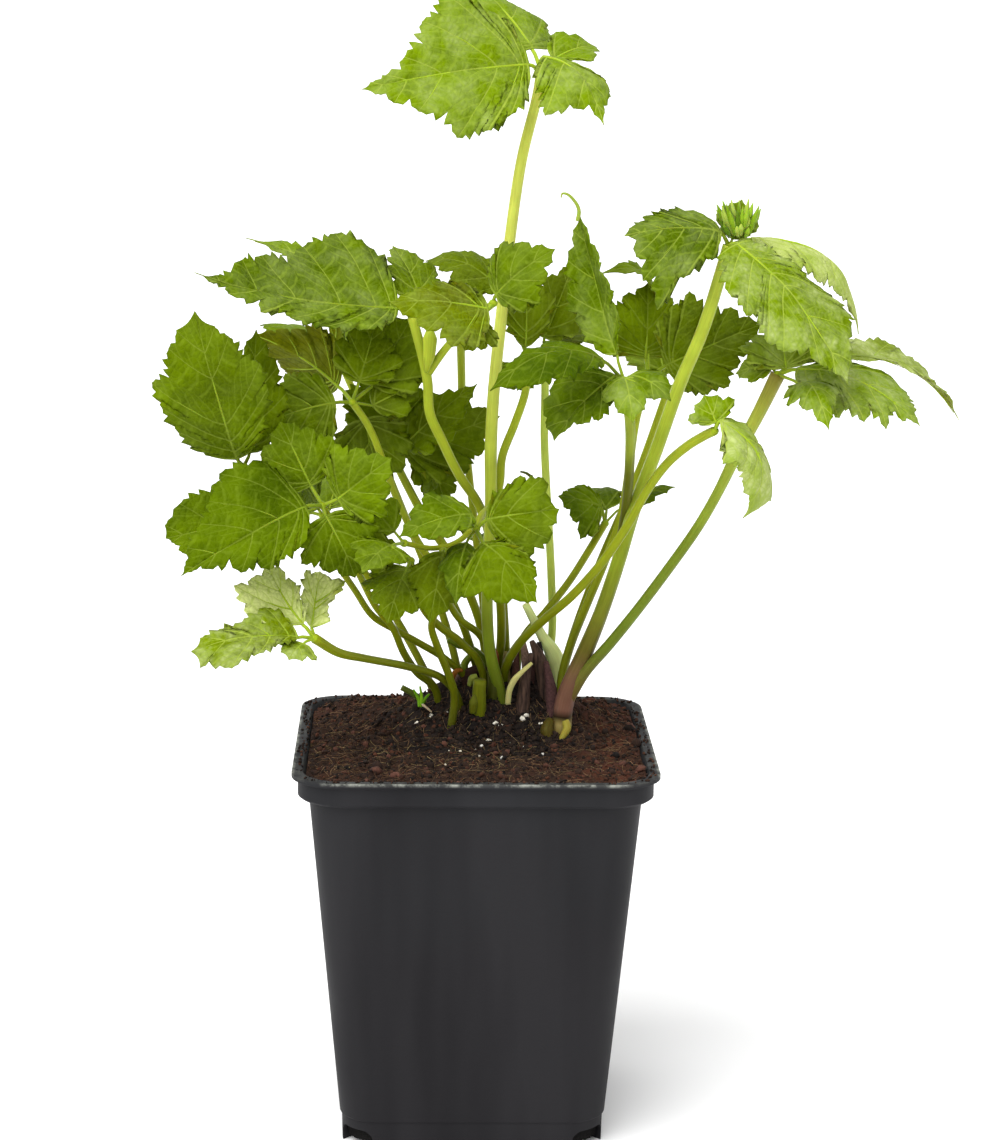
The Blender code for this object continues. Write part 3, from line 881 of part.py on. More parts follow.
def deeper(line):
    """The line with its foot set down by the clearance, for the hole that it stands in."""
    return [line[0] - (line[1] - line[0]).normalized() * CLEARANCE, *line[1:]]


def main():
    for old in list(bpy.data.objects):
        bpy.data.objects.remove(old)
    scene = bpy.context.scene.collection
    plant = bpy.data.collections.new("potted_japanese_anemone")
    scene.children.link(plant)

    make_pot(plant)
    soil = make_soil(plant)

    lines, hubs, holes = {}, {}, []
    for name, (_, radii, points) in STEMS.items():
        lines[name] = ([seen(*p) for p in points], radii)
    for name, (carrier, _) in LEAVES.items():
        line, radii = lines[carrier]
        hubs[name] = line[-1]
        ahead = (line[-1] - line[-2]).normalized()
        lines[carrier] = ([*line[:-1], line[-1] - ahead * (HUB_RADIUS + CLEARANCE)], radii)
    for name, (parent, _, _) in STEMS.items():
        line, radii = lines[name]
        stem = tube(name, line, radii, plant, "stem_green")
        if parent == "soil":
            holes.append(tube("hole", deeper(line), radii, plant, grow=CLEARANCE))
        else:
            join(stem, [tube("clear", *lines[parent], plant, grow=CLEARANCE)], "DIFFERENCE")
    for name, (points, radii) in STUBS.items():
        line = [seen(*p) for p in points]
        finish = "old_sheath" if "brown" in name else "stem_green"
        tube(name, line, radii, plant, finish)
        holes.append(tube("hole", deeper(line), radii, plant, grow=CLEARANCE))
    join(soil, holes, "DIFFERENCE")
    for name, (_, leaflets) in LEAVES.items():
        make_leaf(name, hubs[name], leaflets, plant)


main()
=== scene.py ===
"""The looks of a young Japanese anemone in a square black nursery pot.

Lengths are in millimetres until a mesh is made. Stems and leaves follow the same points
as the solids that they replace, with toothed edges, quilted blades, veins and ribs.
"""

import math

import bmesh
import bpy
import numpy as np
from mathutils import Matrix, Vector, noise


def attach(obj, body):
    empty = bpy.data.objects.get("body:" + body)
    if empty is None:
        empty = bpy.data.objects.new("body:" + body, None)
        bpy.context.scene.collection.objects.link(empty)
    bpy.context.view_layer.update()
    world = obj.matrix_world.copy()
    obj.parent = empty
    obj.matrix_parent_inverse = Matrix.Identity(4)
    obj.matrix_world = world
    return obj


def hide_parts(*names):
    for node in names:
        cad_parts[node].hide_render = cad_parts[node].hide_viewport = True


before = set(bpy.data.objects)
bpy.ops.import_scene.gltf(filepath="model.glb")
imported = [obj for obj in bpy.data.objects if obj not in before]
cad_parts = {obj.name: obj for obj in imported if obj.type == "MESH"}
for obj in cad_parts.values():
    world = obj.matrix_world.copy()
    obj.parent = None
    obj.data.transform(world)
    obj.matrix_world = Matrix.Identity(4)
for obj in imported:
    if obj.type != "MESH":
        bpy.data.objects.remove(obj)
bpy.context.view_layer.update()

MM = 0.001

# Camera: where the photograph was taken from, in millimetres and degrees
PHOTO_WIDTH = 1000
PHOTO_HEIGHT = 1140
EYE = Vector((-18.0, -924.0, 360.0))
YAW, PITCH, ROLL = 1.58, 11.42, 0.66
FOCAL_PIXELS = 3067.0
SENSOR = 36.0

# Light: one broad soft light from the upper left, and a white sky all round
KEY_WAY = (0.45, 0.62, -1.0)
KEY_STRENGTH = 3.4
KEY_SPREAD = 55.0
SKY_STRENGTH = 0.95

# Pot, as its solid
POT_HEIGHT = 120.0
LIP_HALF = 55.0
LIP_THICK = 1.2
BAND_HALF = 53.2
BAND_HEIGHT = 8.0
WALL_TOP_HALF = 50.0
FOOT_HALF = 40.0
FOOT_STEP_HEIGHT = 9.0
FOOT_STEP = 0.6
WALL_THICK = 1.4
FLOOR_THICK = 2.0
LIP_CORNER = 14.0
FOOT_CORNER = 12.0
CORNER_SIDES = 10
EDGE_BREAK = 1.0
EDGE_ROUND = 0.35
EDGE_ROUND_SIDES = 2
NOTCH_HEIGHT = 6.0
NOTCH_WIDTH = 13.0
NOTCH_LENGTH = 16.0
NOTCH_REACH = 48.0
NOTCH_ROUND = 3.0
NOTCH_ROUND_SIDES = 6
DRAIN_RADIUS = 4.0
DRAIN_REACH = 20.0
DRAIN_SIDES = 32
SHARP_ANGLE = 28.0
SMOOTH_ANGLE = 32.0

# Compost. Its lumps are rows of a height, a width and the layer of noise they are read from.
CLEARANCE = 0.3
SOIL_TOP = 119.0
SOIL_EDGE_DROP = 0.9
SOIL_CELLS = 150
SOIL_REACH = 52.0
SOIL_LUMPS = ((1.1, 9.0, 0.3), (0.9, 2.6, 5.3), (0.45, 1.1, 9.1))
MOUND_CENTRE = (7.0, 14.0)
MOUND_SPREAD = (27.0, 13.0)
MOUND_HEIGHT = 15.0
HEAP_START = 22.0
HEAP_HEIGHT = 4.0
HEAP_SLOPE = 5.0
HEAP_REACH = (50.0, 52.0)
SOIL_SMOOTH_ANGLE = 50.0
SPOT_MARGIN = 1.2
SEARCH_STEP = 0.5

# Loose bits: how many, the centre and spread of where they lie or None for all over, their sizes,
# how flat they may be, how deep they sink as a share of their size, and their colours
LOOSE_LUMPS = {
    "bark_crumbs": (2400, None, None, (0.3, 1.1), 0.3, 0.3,
                    ("24170F", "2E1B11", "1A100A", "42281B", "120B07", "4A2A1C")),
    "bark_chips": (260, None, None, (0.9, 2.3), 0.18, 0.3,
                   ("2A1A12", "3C2317", "1C110B", "55352A")),
    "root_ball_crumbs": (700, (7.0, -2.0), (13.0, 8.0), (0.4, 1.5), 0.35, 0.2,
                         ("1A120E", "241812", "120C0A", "2E221A")),
    "perlite": (16, (6.0, -12.0), (13.0, 7.0), (0.3, 0.9), 0.6, 0.0,
                ("D8D2C4", "C8C0AE", "E2DED6")),
}

# Fibres in the same way, with their lengths, radius and how far they may stand up
LOOSE_FIBRES = {
    "bark_fibres": (2600, None, None, (2.0, 8.0), 0.11, 0.3,
                    ("5E4630", "775C42", "36241A", "4A3322", "281A12")),
    "fine_roots": (260, (0.0, -8.0), (26.0, 20.0), (4.0, 14.0), 0.10, 0.15,
                   ("8A7650", "6E5C3E", "524430")),
}
FIBRE_STEPS = 5
FIBRE_SIDES = 4
FIBRE_CURL = 2.2
FIBRE_MARGIN = 0.8
FIBRE_LIGHT = (0.6, 1.2)
LUMP_LIGHT = (0.7, 1.25)
LUMP_DENTS = (0.72, 1.2)
BIT_SIDES = 8

# Fibres that stand on the rear edge, and crumbs on the lip: the same, without where they lie
EDGE_LINE = 46.0
EDGE_SPOTS = range(-46, 44, 3)
EDGE_FIBRES = ((3.0, 9.0), 0.13, 0.9, ("3A2A1C", "241810", "54402C"))
LIP_CRUMBS = 330
LIP_LOOKS = ((0.25, 0.8), 0.4, 0.1, ("2A1A11", "1C110B", "42281B"))

# Leaves and stems. Heights and widths on a blade are in millimetres, and the wave, the bulge of
# a lobe, the hollow of a tip and the quilting are shares of what they stand on. A tooth is the
# place and height of its shoulder and of its tip, and the last one before a notch is low.
BLADE_THICK = 0.34
WAVES = 1.6
WAVE = 0.06
TOOTH_PITCH = 3.2
MOST_TEETH = 4
UNEVEN = 0.03
TOOTH_HEIGHT = 0.62
LOBE_BULGE = 0.06
TIP_HOLLOW = 0.12
LOBE_POINT = 0.8
VEIN_BEND = 1.2
QUILT = 0.055
PUFF_HEIGHT = 0.14
GROOVE_DEPTH = 0.26
GROOVE_WIDTH = 0.6
GUTTER_DEPTH = 0.4
GUTTER_WIDTH = 1.0
SWING_HEIGHT = 0.5
FRILL_HEIGHT = 0.5
DROOP_START = 0.55
VEIN_LEAN_BASE = 58.0
VEIN_LEAN_TIP = 34.0
ROW_GAP = 0.012
CREST_TOOTH = (0.5, 0.62, 0.9, 1.0)
LAST_TOOTH = (0.5, 0.3, 0.78, 0.05)
WIDE_HALF = 8.0
WIDE_COLUMNS = 12
NARROW_COLUMNS = 8
RIBLESS_HALF = 6.0
RIB_RADIUS = 0.72
RIB_TIP = 0.12
RIB_END = 0.94
RIB_DEPTH = 0.34
RIB_STEPS = 12
RIB_SIDES = 8
VEIN_RADIUS = 0.30
VEIN_TIP = 0.08
VEIN_SPAN = (0.03, 0.88)
VEIN_DEPTH = 0.45
VEIN_STEPS = 8
VEIN_SIDES = 5
RIB_COLOUR = "93AA26"
HUB_COLOUR = "8FA31C"
HUB_RADII = (1.35, 1.35, 1.2)
STEM_SIDES = 14
STEM_STEPS = 6
STEM_RIBS = 5
STEM_RIB_HEIGHT = 0.05


# Shared helpers


def srgb(colour):
    """A linear colour from an sRGB hex value such as 5F9A10."""
    channels = []
    for i in (0, 2, 4):
        c = int(colour[i : i + 2], 16) / 255
        channels.append(c / 12.92 if c <= 0.04045 else ((c + 0.055) / 1.055) ** 2.4)
    return (*channels, 1.0)


def seen(x, z, y):
    """The point at depth y that is seen at (x, z) of the plane of the pot's axis."""
    on_plane = Vector((x, 0.0, z))
    return EYE + (on_plane - EYE) * ((y - EYE.y) / -EYE.y)


def spline(points, steps):
    """A Catmull-Rom curve through the points, with that many steps in each span."""
    ends = [2 * points[0] - points[1], *points, 2 * points[-1] - points[-2]]
    curve = []
    for a, b, c, d in zip(ends, ends[1:], ends[2:], ends[3:]):
        for i in range(steps):
            t = i / steps
            bend = 2 * a - 5 * b + 4 * c - d
            turn = 3 * b - a - 3 * c + d
            curve.append(0.5 * (2 * b + (c - a) * t + bend * t * t + turn * t**3))
    return [*curve, points[-1]]


def seeded(name):
    """A random generator that depends on the name alone, so each run draws the same."""
    return np.random.RandomState(sum((i + 1) * ord(c) for i, c in enumerate(name)) % 100003)


def add(tree, kind, inputs=(), **settings):
    """A shader node with its settings. Inputs are numbers, hex colours, sockets or nodes."""
    made = tree.nodes.new("ShaderNode" + kind)
    for key, value in settings.items():
        setattr(made, key, value)
    for key, value in inputs.items() if isinstance(inputs, dict) else enumerate(inputs):
        if isinstance(value, bpy.types.Node):
            value = next(output for output in value.outputs if output.enabled)
        if isinstance(value, bpy.types.NodeSocket):
            tree.links.new(value, made.inputs[key])
        else:
            made.inputs[key].default_value = srgb(value) if isinstance(value, str) else value
    return made


def new_material(name, **sockets):
    """A Principled material, its tree and its shader. Underscores stand for spaces."""
    made = bpy.data.materials.new(name)
    made.use_nodes = True
    tree = made.node_tree
    shader = tree.nodes["Principled BSDF"]
    for key, value in sockets.items():
        shader.inputs[key.replace("_", " ")].default_value = value
    return made, tree, shader


def feed(tree, shader, **nodes):
    """Links each node to the shader's socket of that name. Underscores stand for spaces."""
    for key, node in nodes.items():
        output = next(output for output in node.outputs if output.enabled)
        tree.links.new(output, shader.inputs[key.replace("_", " ")])


def build_piece(name, parts, materials, nodes=()):
    """One piece from parts of (points in mm, faces, material index, {attribute: colours})."""
    points = np.concatenate([part[0] for part in parts]) * MM
    faces, finishes, start = [], [], 0
    for skin, part_faces, finish, _ in parts:
        faces += [[start + i for i in face] for face in part_faces]
        finishes += list(finish) if np.ndim(finish) else [finish] * len(part_faces)
        start += len(skin)
    mesh = bpy.data.meshes.new(name)
    mesh.from_pydata(points.tolist(), [], faces)
    for key in sorted({key for part in parts for key in part[3]}):
        blank = [(0.0, 0.0, 0.0, 0.0)]
        rows = [np.asarray(part[3].get(key, np.tile(blank, (len(part[0]), 1)))) for part in parts]
        layer = mesh.attributes.new(key, "FLOAT_COLOR", "POINT")
        layer.data.foreach_set("color", np.concatenate(rows).astype(np.float32).ravel())
    for material in materials:
        mesh.materials.append(material)
    mesh.polygons.foreach_set("material_index", np.array(finishes, np.int32))
    mesh.polygons.foreach_set("use_smooth", np.ones(len(faces), bool))
    mesh.update()
    made = bpy.data.objects.new(name, mesh)
    bpy.context.scene.collection.objects.link(made)
    return settle_piece(made, nodes)


def settle_piece(piece, nodes=()):
    """Hangs a finished piece on the frame."""
    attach(piece, "root")
    if nodes:
        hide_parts(*nodes)
    return piece


def tube(line, radii, sides):
    """Points, faces and (around, length) of a round tube along a line, closed at both ends."""
    line = [Vector(p) for p in line]
    count = len(line)
    up = Vector((0.3, -0.9, 0.2))
    points, flat, length = [], [], 0.0
    for i, centre in enumerate(line):
        ahead = (line[min(i + 1, count - 1)] - line[max(i - 1, 0)]).normalized()
        up = (up - up.dot(ahead) * ahead).normalized()
        side = ahead.cross(up)
        length += (centre - line[i - 1]).length if i else 0.0
        size = float(radii[i])
        for k in range(sides):
            angle = math.tau * k / sides
            points.append(centre + size * (math.cos(angle) * up + math.sin(angle) * side))
            flat.append((k / sides, length, i / (count - 1), 1.0))
    faces = []
    for i in range(count - 1):
        for k in range(sides):
            a, b = i * sides + k, i * sides + (k + 1) % sides
            faces.append((a, b, b + sides, a + sides))
    faces.append(tuple(range(sides))[::-1])
    faces.append(tuple((count - 1) * sides + k for k in range(sides)))
    return np.array(points), faces, np.array(flat)


def tapered(radii, count):
    """That many radii, passing evenly through the few given."""
    return np.interp(np.linspace(0, len(radii) - 1, count), range(len(radii)), radii)


def seen_line(points, steps=STEM_STEPS):
    """A smooth line through points that are given as they are seen."""
    return spline([seen(*p) for p in points], steps)


def strand(points, radii, sides, tint, finish=0):
    """A tube of one colour along the points, as a part of a piece."""
    skin, faces, flat = tube(points, tapered(radii, len(points)), sides)
    return skin, faces, finish, {"tint": np.tile(tint, (len(skin), 1)), "flat": flat}


# Tables of stems and leaves. Every point is (x, z, y): where it is seen against the plane of
# the pot's axis, and how deep it lies.


# Each stem: its radii from foot to top, and its points from the foot to the leaf that it carries
STEMS = {
    "stalk_top": ((2.0, 1.8, 1.9, 1.7, 1.5), [
        (9, 112, 6), (8.5, 131, 6), (4.5, 148, 4), (3.5, 165, 1), (4, 180, -2), (4.4, 195, -4),
        (4.2, 212, -5), (5, 230, -5), (6.8, 250, -5), (9.3, 275, -5), (12.4, 298, -6),
        (16.6, 316, -6), (18, 325, -6)]),
    "stalk_bud": ((1.5, 1.4, 1.5, 1.5), [
        (8, 118, 22), (6, 134, 21), (8, 150, 15), (7.5, 165, 9), (5, 180, 5), (1, 193, 0),
        (-5.5, 203, -6), (-11, 214, -10), (-14.5, 222, -12), (-15.3, 232, -13), (-17.5, 242, -14),
        (-20, 251, -14)]),
    "arm_bud": ((1.3, 1.1, 1.1), [
        (-15.2, 234, -13), (-9.5, 242, -16), (-2.5, 249.5, -20), (4.5, 255.5, -24)]),
    "flower_bud": ((0.7, 1.8, 2.2, 0.4), [
        (-15.6, 234.5, -15), (-14.9, 239, -17), (-14.6, 244.5, -17.5), (-14.6, 249, -17)]),
    "stalk_right": ((3.1, 3.0, 2.3, 2.1, 2.0, 1.9), [
        (26.6, 106, 0), (27, 118, 0), (28, 132, 0), (33.4, 146, 0), (38.8, 160, 1), (43.8, 176, 1),
        (48.5, 193, 0), (54.8, 211, -4), (61.4, 231, -8), (68.5, 249, -12), (75.4, 273.5, -15)]),
    "petiole_far_right": ((1.8, 1.6, 1.6, 2.3), [
        (28.5, 131, 0), (34, 141, -2), (41.5, 150, -2), (50, 161, -2), (60, 175, -2),
        (68, 187, -3), (74, 198, -4), (79.5, 210, -7), (86, 223, -9), (91.3, 234.5, -10)]),
    "petiole_mid_right": ((1.4, 1.4, 1.6), [
        (28.5, 134, 0), (31.5, 143, 6), (37, 154, 9), (41, 166, 10), (43.5, 178, 8), (45.6, 191, 2),
        (46.6, 204, -8), (46.6, 219, -18), (44.6, 232, -25)]),
    "petiole_behind_right": ((1.5, 1.3, 1.2), [
        (27.5, 130, 0), (27, 139, 8), (29.6, 150, 12), (34.5, 163, 16), (40, 177, 20),
        (44.5, 191, 22), (46.6, 206, 22), (48.6, 221, 21), (52, 233, 20)]),
    "petiole_front_right": ((1.5, 1.4, 1.4, 1.4), [
        (11, 120, 14), (9, 131, 13), (9.5, 142, 9), (14, 150.5, 3), (21, 157.5, -4),
        (30, 165.5, -9), (39, 176, -11), (46.5, 187.5, -12), (52, 198, -14), (58, 206.5, -18),
        (64, 212, -23), (69.5, 215.5, -28), (72.5, 217, -31)]),
    "petiole_edge_right": ((1.25, 1.2, 1.2), [
        (15, 120, 20), (13, 136, 22), (14.5, 151, 23), (21.5, 160, 24), (28.6, 169.5, 27),
        (34.4, 179, 31), (39.5, 188, 35)]),
    "petiole_middle": ((1.25, 1.3, 1.25, 1.2), [
        (22, 122, 26), (22.5, 138, 29), (23.8, 155, 30.5), (23.3, 170, 28), (22.4, 185, 23),
        (21.3, 200, 19), (20.5, 215, 16), (20.5, 230, 13), (20, 241, 11)]),
    "petiole_stalk_side": ((1.3, 1.3, 1.2), [
        (4.4, 190, -3.5), (7, 200, 0), (7.8, 209, 2), (11.5, 219, 4), (14.6, 229, 5),
        (15, 239, 4)]),
    "petiole_left_low": ((1.3, 1.2, 1.2, 1.5), [
        (-4, 120, 4), (-5, 132, 4), (-10, 139, -1), (-20, 142.5, -12), (-33, 145, -28),
        (-42, 147, -38), (-49.5, 151.5, -45)]),
    "petiole_left_upper": ((1.2, 1.1, 1.0, 1.0), [
        (0, 122, 14), (-1.5, 137, 13), (-9, 145, 8), (-17, 150, 3), (-25, 154.5, -3),
        (-32, 159, -9), (-38, 168, -14), (-48, 182, -19), (-62, 197, -23), (-71, 205, -26)]),
    "petiole_left_front": ((1.3, 1.2, 1.0, 1.0), [
        (-10, 120, 8), (-12, 135, 8), (-18, 141, 2), (-22, 147, -5), (-25.5, 155, -11),
        (-31, 162, -17), (-36, 172, -24), (-42, 184, -29), (-47, 193, -32)]),
    "petiole_left_back": ((1.3, 1.2, 1.1, 1.1), [
        (3, 122, 18), (1.5, 138, 18), (-3.5, 155, 12), (-11, 171, 5), (-19, 184, 0),
        (-25, 197, -4), (-29, 208, -7), (-33, 217.5, -9), (-38, 225, -11)]),
    "petiole_centre_back": ((1.5, 1.4, 1.4, 1.2), [
        (4.5, 122, 26), (4, 140, 27), (1, 158, 25), (-7, 176, 21), (-15.5, 189, 17),
        (-21, 199, 13), (-26, 209, 10)]),
    "petiole_centre_front": ((1.3, 1.1, 1.1), [
        (4.3, 191, -3.5), (3.5, 192, -13), (1.5, 190, -24), (0, 186, -33)]),
    "petiole_arched_left": ((0.9, 0.8, 0.8), [
        (2, 190, -21), (-5, 182.5, -22), (-13, 180, -24), (-22, 181.5, -28)]),
    "petiole_low_dark": ((1.2, 1.1, 1.1), [
        (7, 121, 16), (5.5, 140, 15), (2, 152, 10), (-5, 158, 3), (-9, 165, -7), (-11, 173, -17),
        (-10, 179, -27)]),
    "petiole_low_left": ((1.3, 1.2, 1.1), [
        (5, 118, 9), (2.5, 141, 9), (-4, 150, 4), (-11, 155.5, -4), (-16, 161, -12),
        (-19, 169, -20), (-20, 176, -25)]),
    "petiole_curved": ((1.3, 1.2, 1.0), [
        (-8, 118, 0), (-6.2, 132, 0), (-8, 140, -3), (-12, 150, -7), (-13.5, 156, -11),
        (-11, 162, -17)]),
    "petiole_young": ((1.1, 1.2, 1.1), [
        (10.8, 121, 21.5), (10, 140, 20.5), (9.5, 152, 19), (8.8, 163, 17.5)]),
    "petiole_hidden": ((1.2, 1.2, 1.3), [
        (5, 121, 36), (4, 145, 36), (1.5, 170, 33), (-2, 200, 29), (-4.4, 222, 24),
        (-5, 236, 19), (-5.3, 246, 15)]),
    "petiole_rear_left": ((1.3, 1.2, 1.1), [
        (-4, 121, 26), (-5, 140, 30), (-12, 165, 37), (-23, 193, 43), (-34, 220, 46),
        (-42, 238, 44)]),
    "petiole_rear_low": ((1.3, 1.2, 1.1), [
        (-10, 121, 22), (-14, 138, 28), (-27, 162, 36), (-40, 180, 41), (-47, 190, 42)]),
    "petiole_rear_middle": ((1.3, 1.2, 1.1), [
        (11, 121, 30), (10, 140, 36), (8, 160, 42), (5, 178, 46)]),
    "petiole_rear_right": ((1.3, 1.2, 1.1), [
        (24, 121, 32), (28, 145, 37), (37, 173, 43), (49, 203, 47), (58, 230, 48)]),
}

# Old leaf bases and a cut stump at the crown: foot and tip seen, radii from foot to tip
STUBS = {
    "stump_green": ([(1.4, 120, 4), (1.4, 131, 2), (1.6, 138.5, 1)], (2.3, 2.3, 2.0)),
    "sheath_pale": (
        [(25, 121, 17), (26, 136, 16), (24.6, 146, 15), (20.5, 153, 14), (15.5, 162.5, 12)],
        (1.6, 3.0, 2.8, 1.6, 1.2)),
    "sheath_brown_1": (
        [(22, 118, 9), (22.5, 132, 9), (20.5, 144, 9), (17.5, 151, 9)], (2.6, 2.8, 2.2, 0.8)),
    "sheath_brown_2": (
        [(14.5, 118, 4), (15, 130, 4), (16, 141, 4), (17.5, 147, 3)], (2.4, 2.2, 1.5, 0.7)),
    "sheath_brown_3": (
        [(-4, 118, 12), (-5, 131, 13), (-5.5, 137, 14), (-4, 141, 14)], (2.6, 2.2, 1.5, 0.7)),
}

# Half outlines of a leaflet, in percent of its length and of its half width, from near the base
# to near the tip: a tooth, then a notch, and so on. Where the two halves differ, an entry holds
# the point of one half and then the point of the other.
OUTLINES = {
    "lobed": [
        (4, 38), (8, 54), (11, 86), (19, 80), (28, 106), (36, 88), (48, 112), (53, 68), (62, 78),
        (68, 50), (77, 53), (82, 28), (90, 24)],
    "palmate": [
        (3, 44), (7, 56), (9, 90), (18, 84), (26, 110), (34, 86), (44, 112), (50, 62), (60, 74),
        (66, 46), (76, 50), (81, 26), (90, 22)],
    "simple": [
        (3, 46), (12, 62), (20, 100), (32, 86), (46, 108), (54, 66), (67, 70), (76, 40), (88, 32)],
    "oval": [
        (4, 44), (13, 62), (24, 98), (35, 88), (49, 104), (58, 78), (70, 76), (79, 44), (89, 33)],
    "small": [(8, 60), (24, 78), (42, 106), (58, 68), (79, 56)],
    "wide": [
        (7, 36), (16, 46), (34, 84), (46, 78), (67, 110), (72, 52), (80, 46), (83, 24), (91, 20)],
    "tapered": [
        (3, 44), (7, 58), (12, 92), (20, 86), (30, 112), (38, 84), (48, 88), (54, 56), (62, 54),
        (68, 36), (77, 36), (82, 20), (90, 16)],
    "broad": [
        (8, 32), (16, 40), (30, 70), (38, 68), (56, 105), (64, 78), (78, 72), (84, 42), (92, 30)],
    "fan": [
        (12, 36), (24, 46), (45, 88), (56, 82), (74, 106), (80, 66), (90, 68), (92, 36), (98, 32)],
    "strap": [
        (4, 44), (13, 62), (26, 95), (36, 88), (49, 100), (60, 82), (69, 72), (73, 34), (85, 36)],
    "top_main": [
        (3, 44, 6, 42), (7, 58, 8, 50), (12, 92, 22, 90), (20, 88, 28, 92), (42, 128, 36, 104),
        (47, 96, 44, 98), (56, 93, 54, 108), (60, 54, 57, 70), (72, 34, 72, 58), (76, 18, 76, 36),
        (85, 13, 84, 33), (88, 10, 88, 19), (94, 8, 93, 14)],
    "top_side": [
        (8, 30, 6, 30), (16, 42, 14, 40), (34, 86, 32, 78), (50, 90, 48, 48), (76, 116, 64, 70),
        (78, 66, 70, 58), (81, 46, 78, 42), (82, 20, 84, 24), (90, 13, 90, 14)],
    "upper_left": [
        (3, 56, 3, 28), (5, 76, 7, 34), (14, 114, 14, 46), (20, 118, 22, 42), (29, 128, 34, 50),
        (36, 116, 42, 44), (44, 106, 51, 44), (53, 66, 57, 22), (66, 62, 66, 44), (70, 50, 67, 20),
        (76, 44, 82, 19), (82, 20, 84, 8), (89, 7, 92, 8)],
    "left_upper": [
        (6, 36, 6, 44), (12, 46, 12, 60), (26, 80, 28, 91), (32, 84, 34, 96), (44, 102, 45, 114),
        (50, 96, 50, 112), (60, 98, 60, 118), (66, 68, 63, 78), (80, 53, 80, 66), (84, 40, 84, 53),
        (88, 30, 90, 44)],
    "left_front": [
        (4, 66, 5, 28), (7, 94, 10, 40), (9, 108, 20, 58), (22, 114, 26, 56), (38, 124, 38, 66),
        (42, 104, 41, 60), (56, 84, 48, 70), (62, 70, 54, 48), (70, 58, 65, 50), (76, 46, 68, 22),
        (86, 32, 84, 14), (90, 20, 86, 5), (95, 10, 93, 4)],
    "left_side": [
        (5, 40, 5, 30), (12, 60, 12, 40), (26, 106, 26, 58), (36, 108, 36, 58), (53, 122, 60, 68),
        (62, 102, 70, 54), (84, 80, 89, 48), (92, 54, 91, 30), (98, 32, 96, 15)],
    "low_main": [
        (4, 46, 4, 20), (10, 66, 10, 26), (24, 96, 22, 36), (34, 76, 30, 46), (48, 60, 44, 80),
        (60, 32, 52, 86), (74, 38, 70, 126), (80, 32, 88, 66), (88, 34, 95, 78)],
    "low_upper": [
        (8, 16, 8, 48), (16, 20, 16, 68), (34, 30, 36, 116), (44, 30, 58, 106), (60, 38, 84, 108),
        (66, 26, 78, 72), (83, 26, 84, 56), (86, 15, 83, 30), (93, 12, 88, 18)],
    "low_upright": [
        (12, 60, 8, 20), (20, 50, 16, 30), (36, 50, 30, 42), (50, 47, 40, 41), (72, 70, 60, 50),
        (73, 64, 70, 46), (88, 92, 96, 52), (90, 50, 92, 30), (96, 22, 97, 18)],
    "centre_right": [
        (8, 34, 8, 34), (16, 45, 16, 40), (30, 78, 28, 55), (38, 78, 34, 42), (50, 88, 52, 74),
        (60, 76, 62, 61), (79, 62, 81, 66), (82, 34, 85, 38), (92, 28, 92, 10)],
    "centre_low": [
        (6, 25, 6, 12), (12, 36, 14, 17), (28, 94, 30, 34), (36, 98, 38, 32), (50, 112, 52, 44),
        (60, 82, 60, 35), (79, 62, 71, 37), (84, 42, 78, 25), (95, 16, 86, 20)],
    "right_left": [
        (3, 48, 8, 34), (8, 60, 10, 42), (18, 72, 17, 62), (26, 67, 28, 60), (38, 60, 50, 96),
        (50, 47, 61, 92), (58, 45, 86, 152), (64, 41, 82, 92), (70, 44, 94, 88), (76, 31, 88, 60),
        (82, 30, 94, 46), (86, 20, 91, 16), (92, 17, 94, 6)],
    "right_main": [
        (2, 46, 2, 28), (7, 50, 6, 33), (24, 82, 16, 40), (32, 86, 22, 48), (42, 96, 27, 54),
        (43, 72, 38, 53), (60, 88, 57, 98), (64, 76, 60, 90), (69, 72, 64, 91), (74, 34, 68, 72),
        (84, 30, 73, 70), (87, 19, 79, 45), (92, 12, 90, 29)],
    "far_main": [
        (4, 38, 4, 30), (10, 54, 10, 40), (24, 84, 22, 50), (32, 78, 30, 58), (48, 106, 45, 94),
        (46, 72, 54, 93), (67, 86, 69, 122), (65, 54, 72, 100), (83, 62, 80, 68), (73, 18, 84, 48),
        (89, 25, 89, 31), (90, 12, 92, 20), (95, 8, 95, 12)],
    "front_main": [
        (6, 34, 5, 40), (12, 48, 12, 52), (25, 112, 22, 52), (38, 94, 36, 40), (54, 86, 55, 94),
        (60, 70, 63, 102), (76, 54, 74, 124), (84, 22, 82, 84), (89, 14, 89, 42)],
    "long_left": [
        (4, 44, 4, 40), (12, 60, 13, 55), (24, 82, 26, 74), (34, 72, 36, 77), (48, 58, 52, 92),
        (58, 45, 62, 90), (70, 36, 74, 88), (78, 29, 82, 68), (89, 26, 92, 27)],
    "hanging": [
        (5, 30, 6, 27), (12, 42, 12, 35), (28, 75, 30, 54), (38, 85, 38, 52), (52, 91, 56, 62),
        (64, 84, 58, 42), (80, 68, 70, 36), (86, 52, 74, 18), (93, 34, 86, 12)],
}


def leaflet(base, tip, width, face, shape="simple", **form):
    """One leaflet. Base and tip are (x, z, y) seen, and face is the way its upper side looks.
    Arch lifts the middle of the midrib, hook bends its tip down and sweep bows it sideways, in
    millimetres. Fold raises both halves and roll turns the edges down, in degrees. Skew widens
    one half at the cost of the other."""
    made = {"base": seen(*base), "tip": seen(*tip), "half": width / 2, "face": Vector(face)}
    made["shape"] = shape
    made["phase"] = (0.37 * base[0] + 0.21 * tip[1]) % 1.0
    for length in ("arch", "hook", "sweep", "skew"):
        made[length] = form.get(length, 0.0)
    for angle in ("fold", "roll"):
        made[angle] = math.radians(form.get(angle, 0.0))
    return made


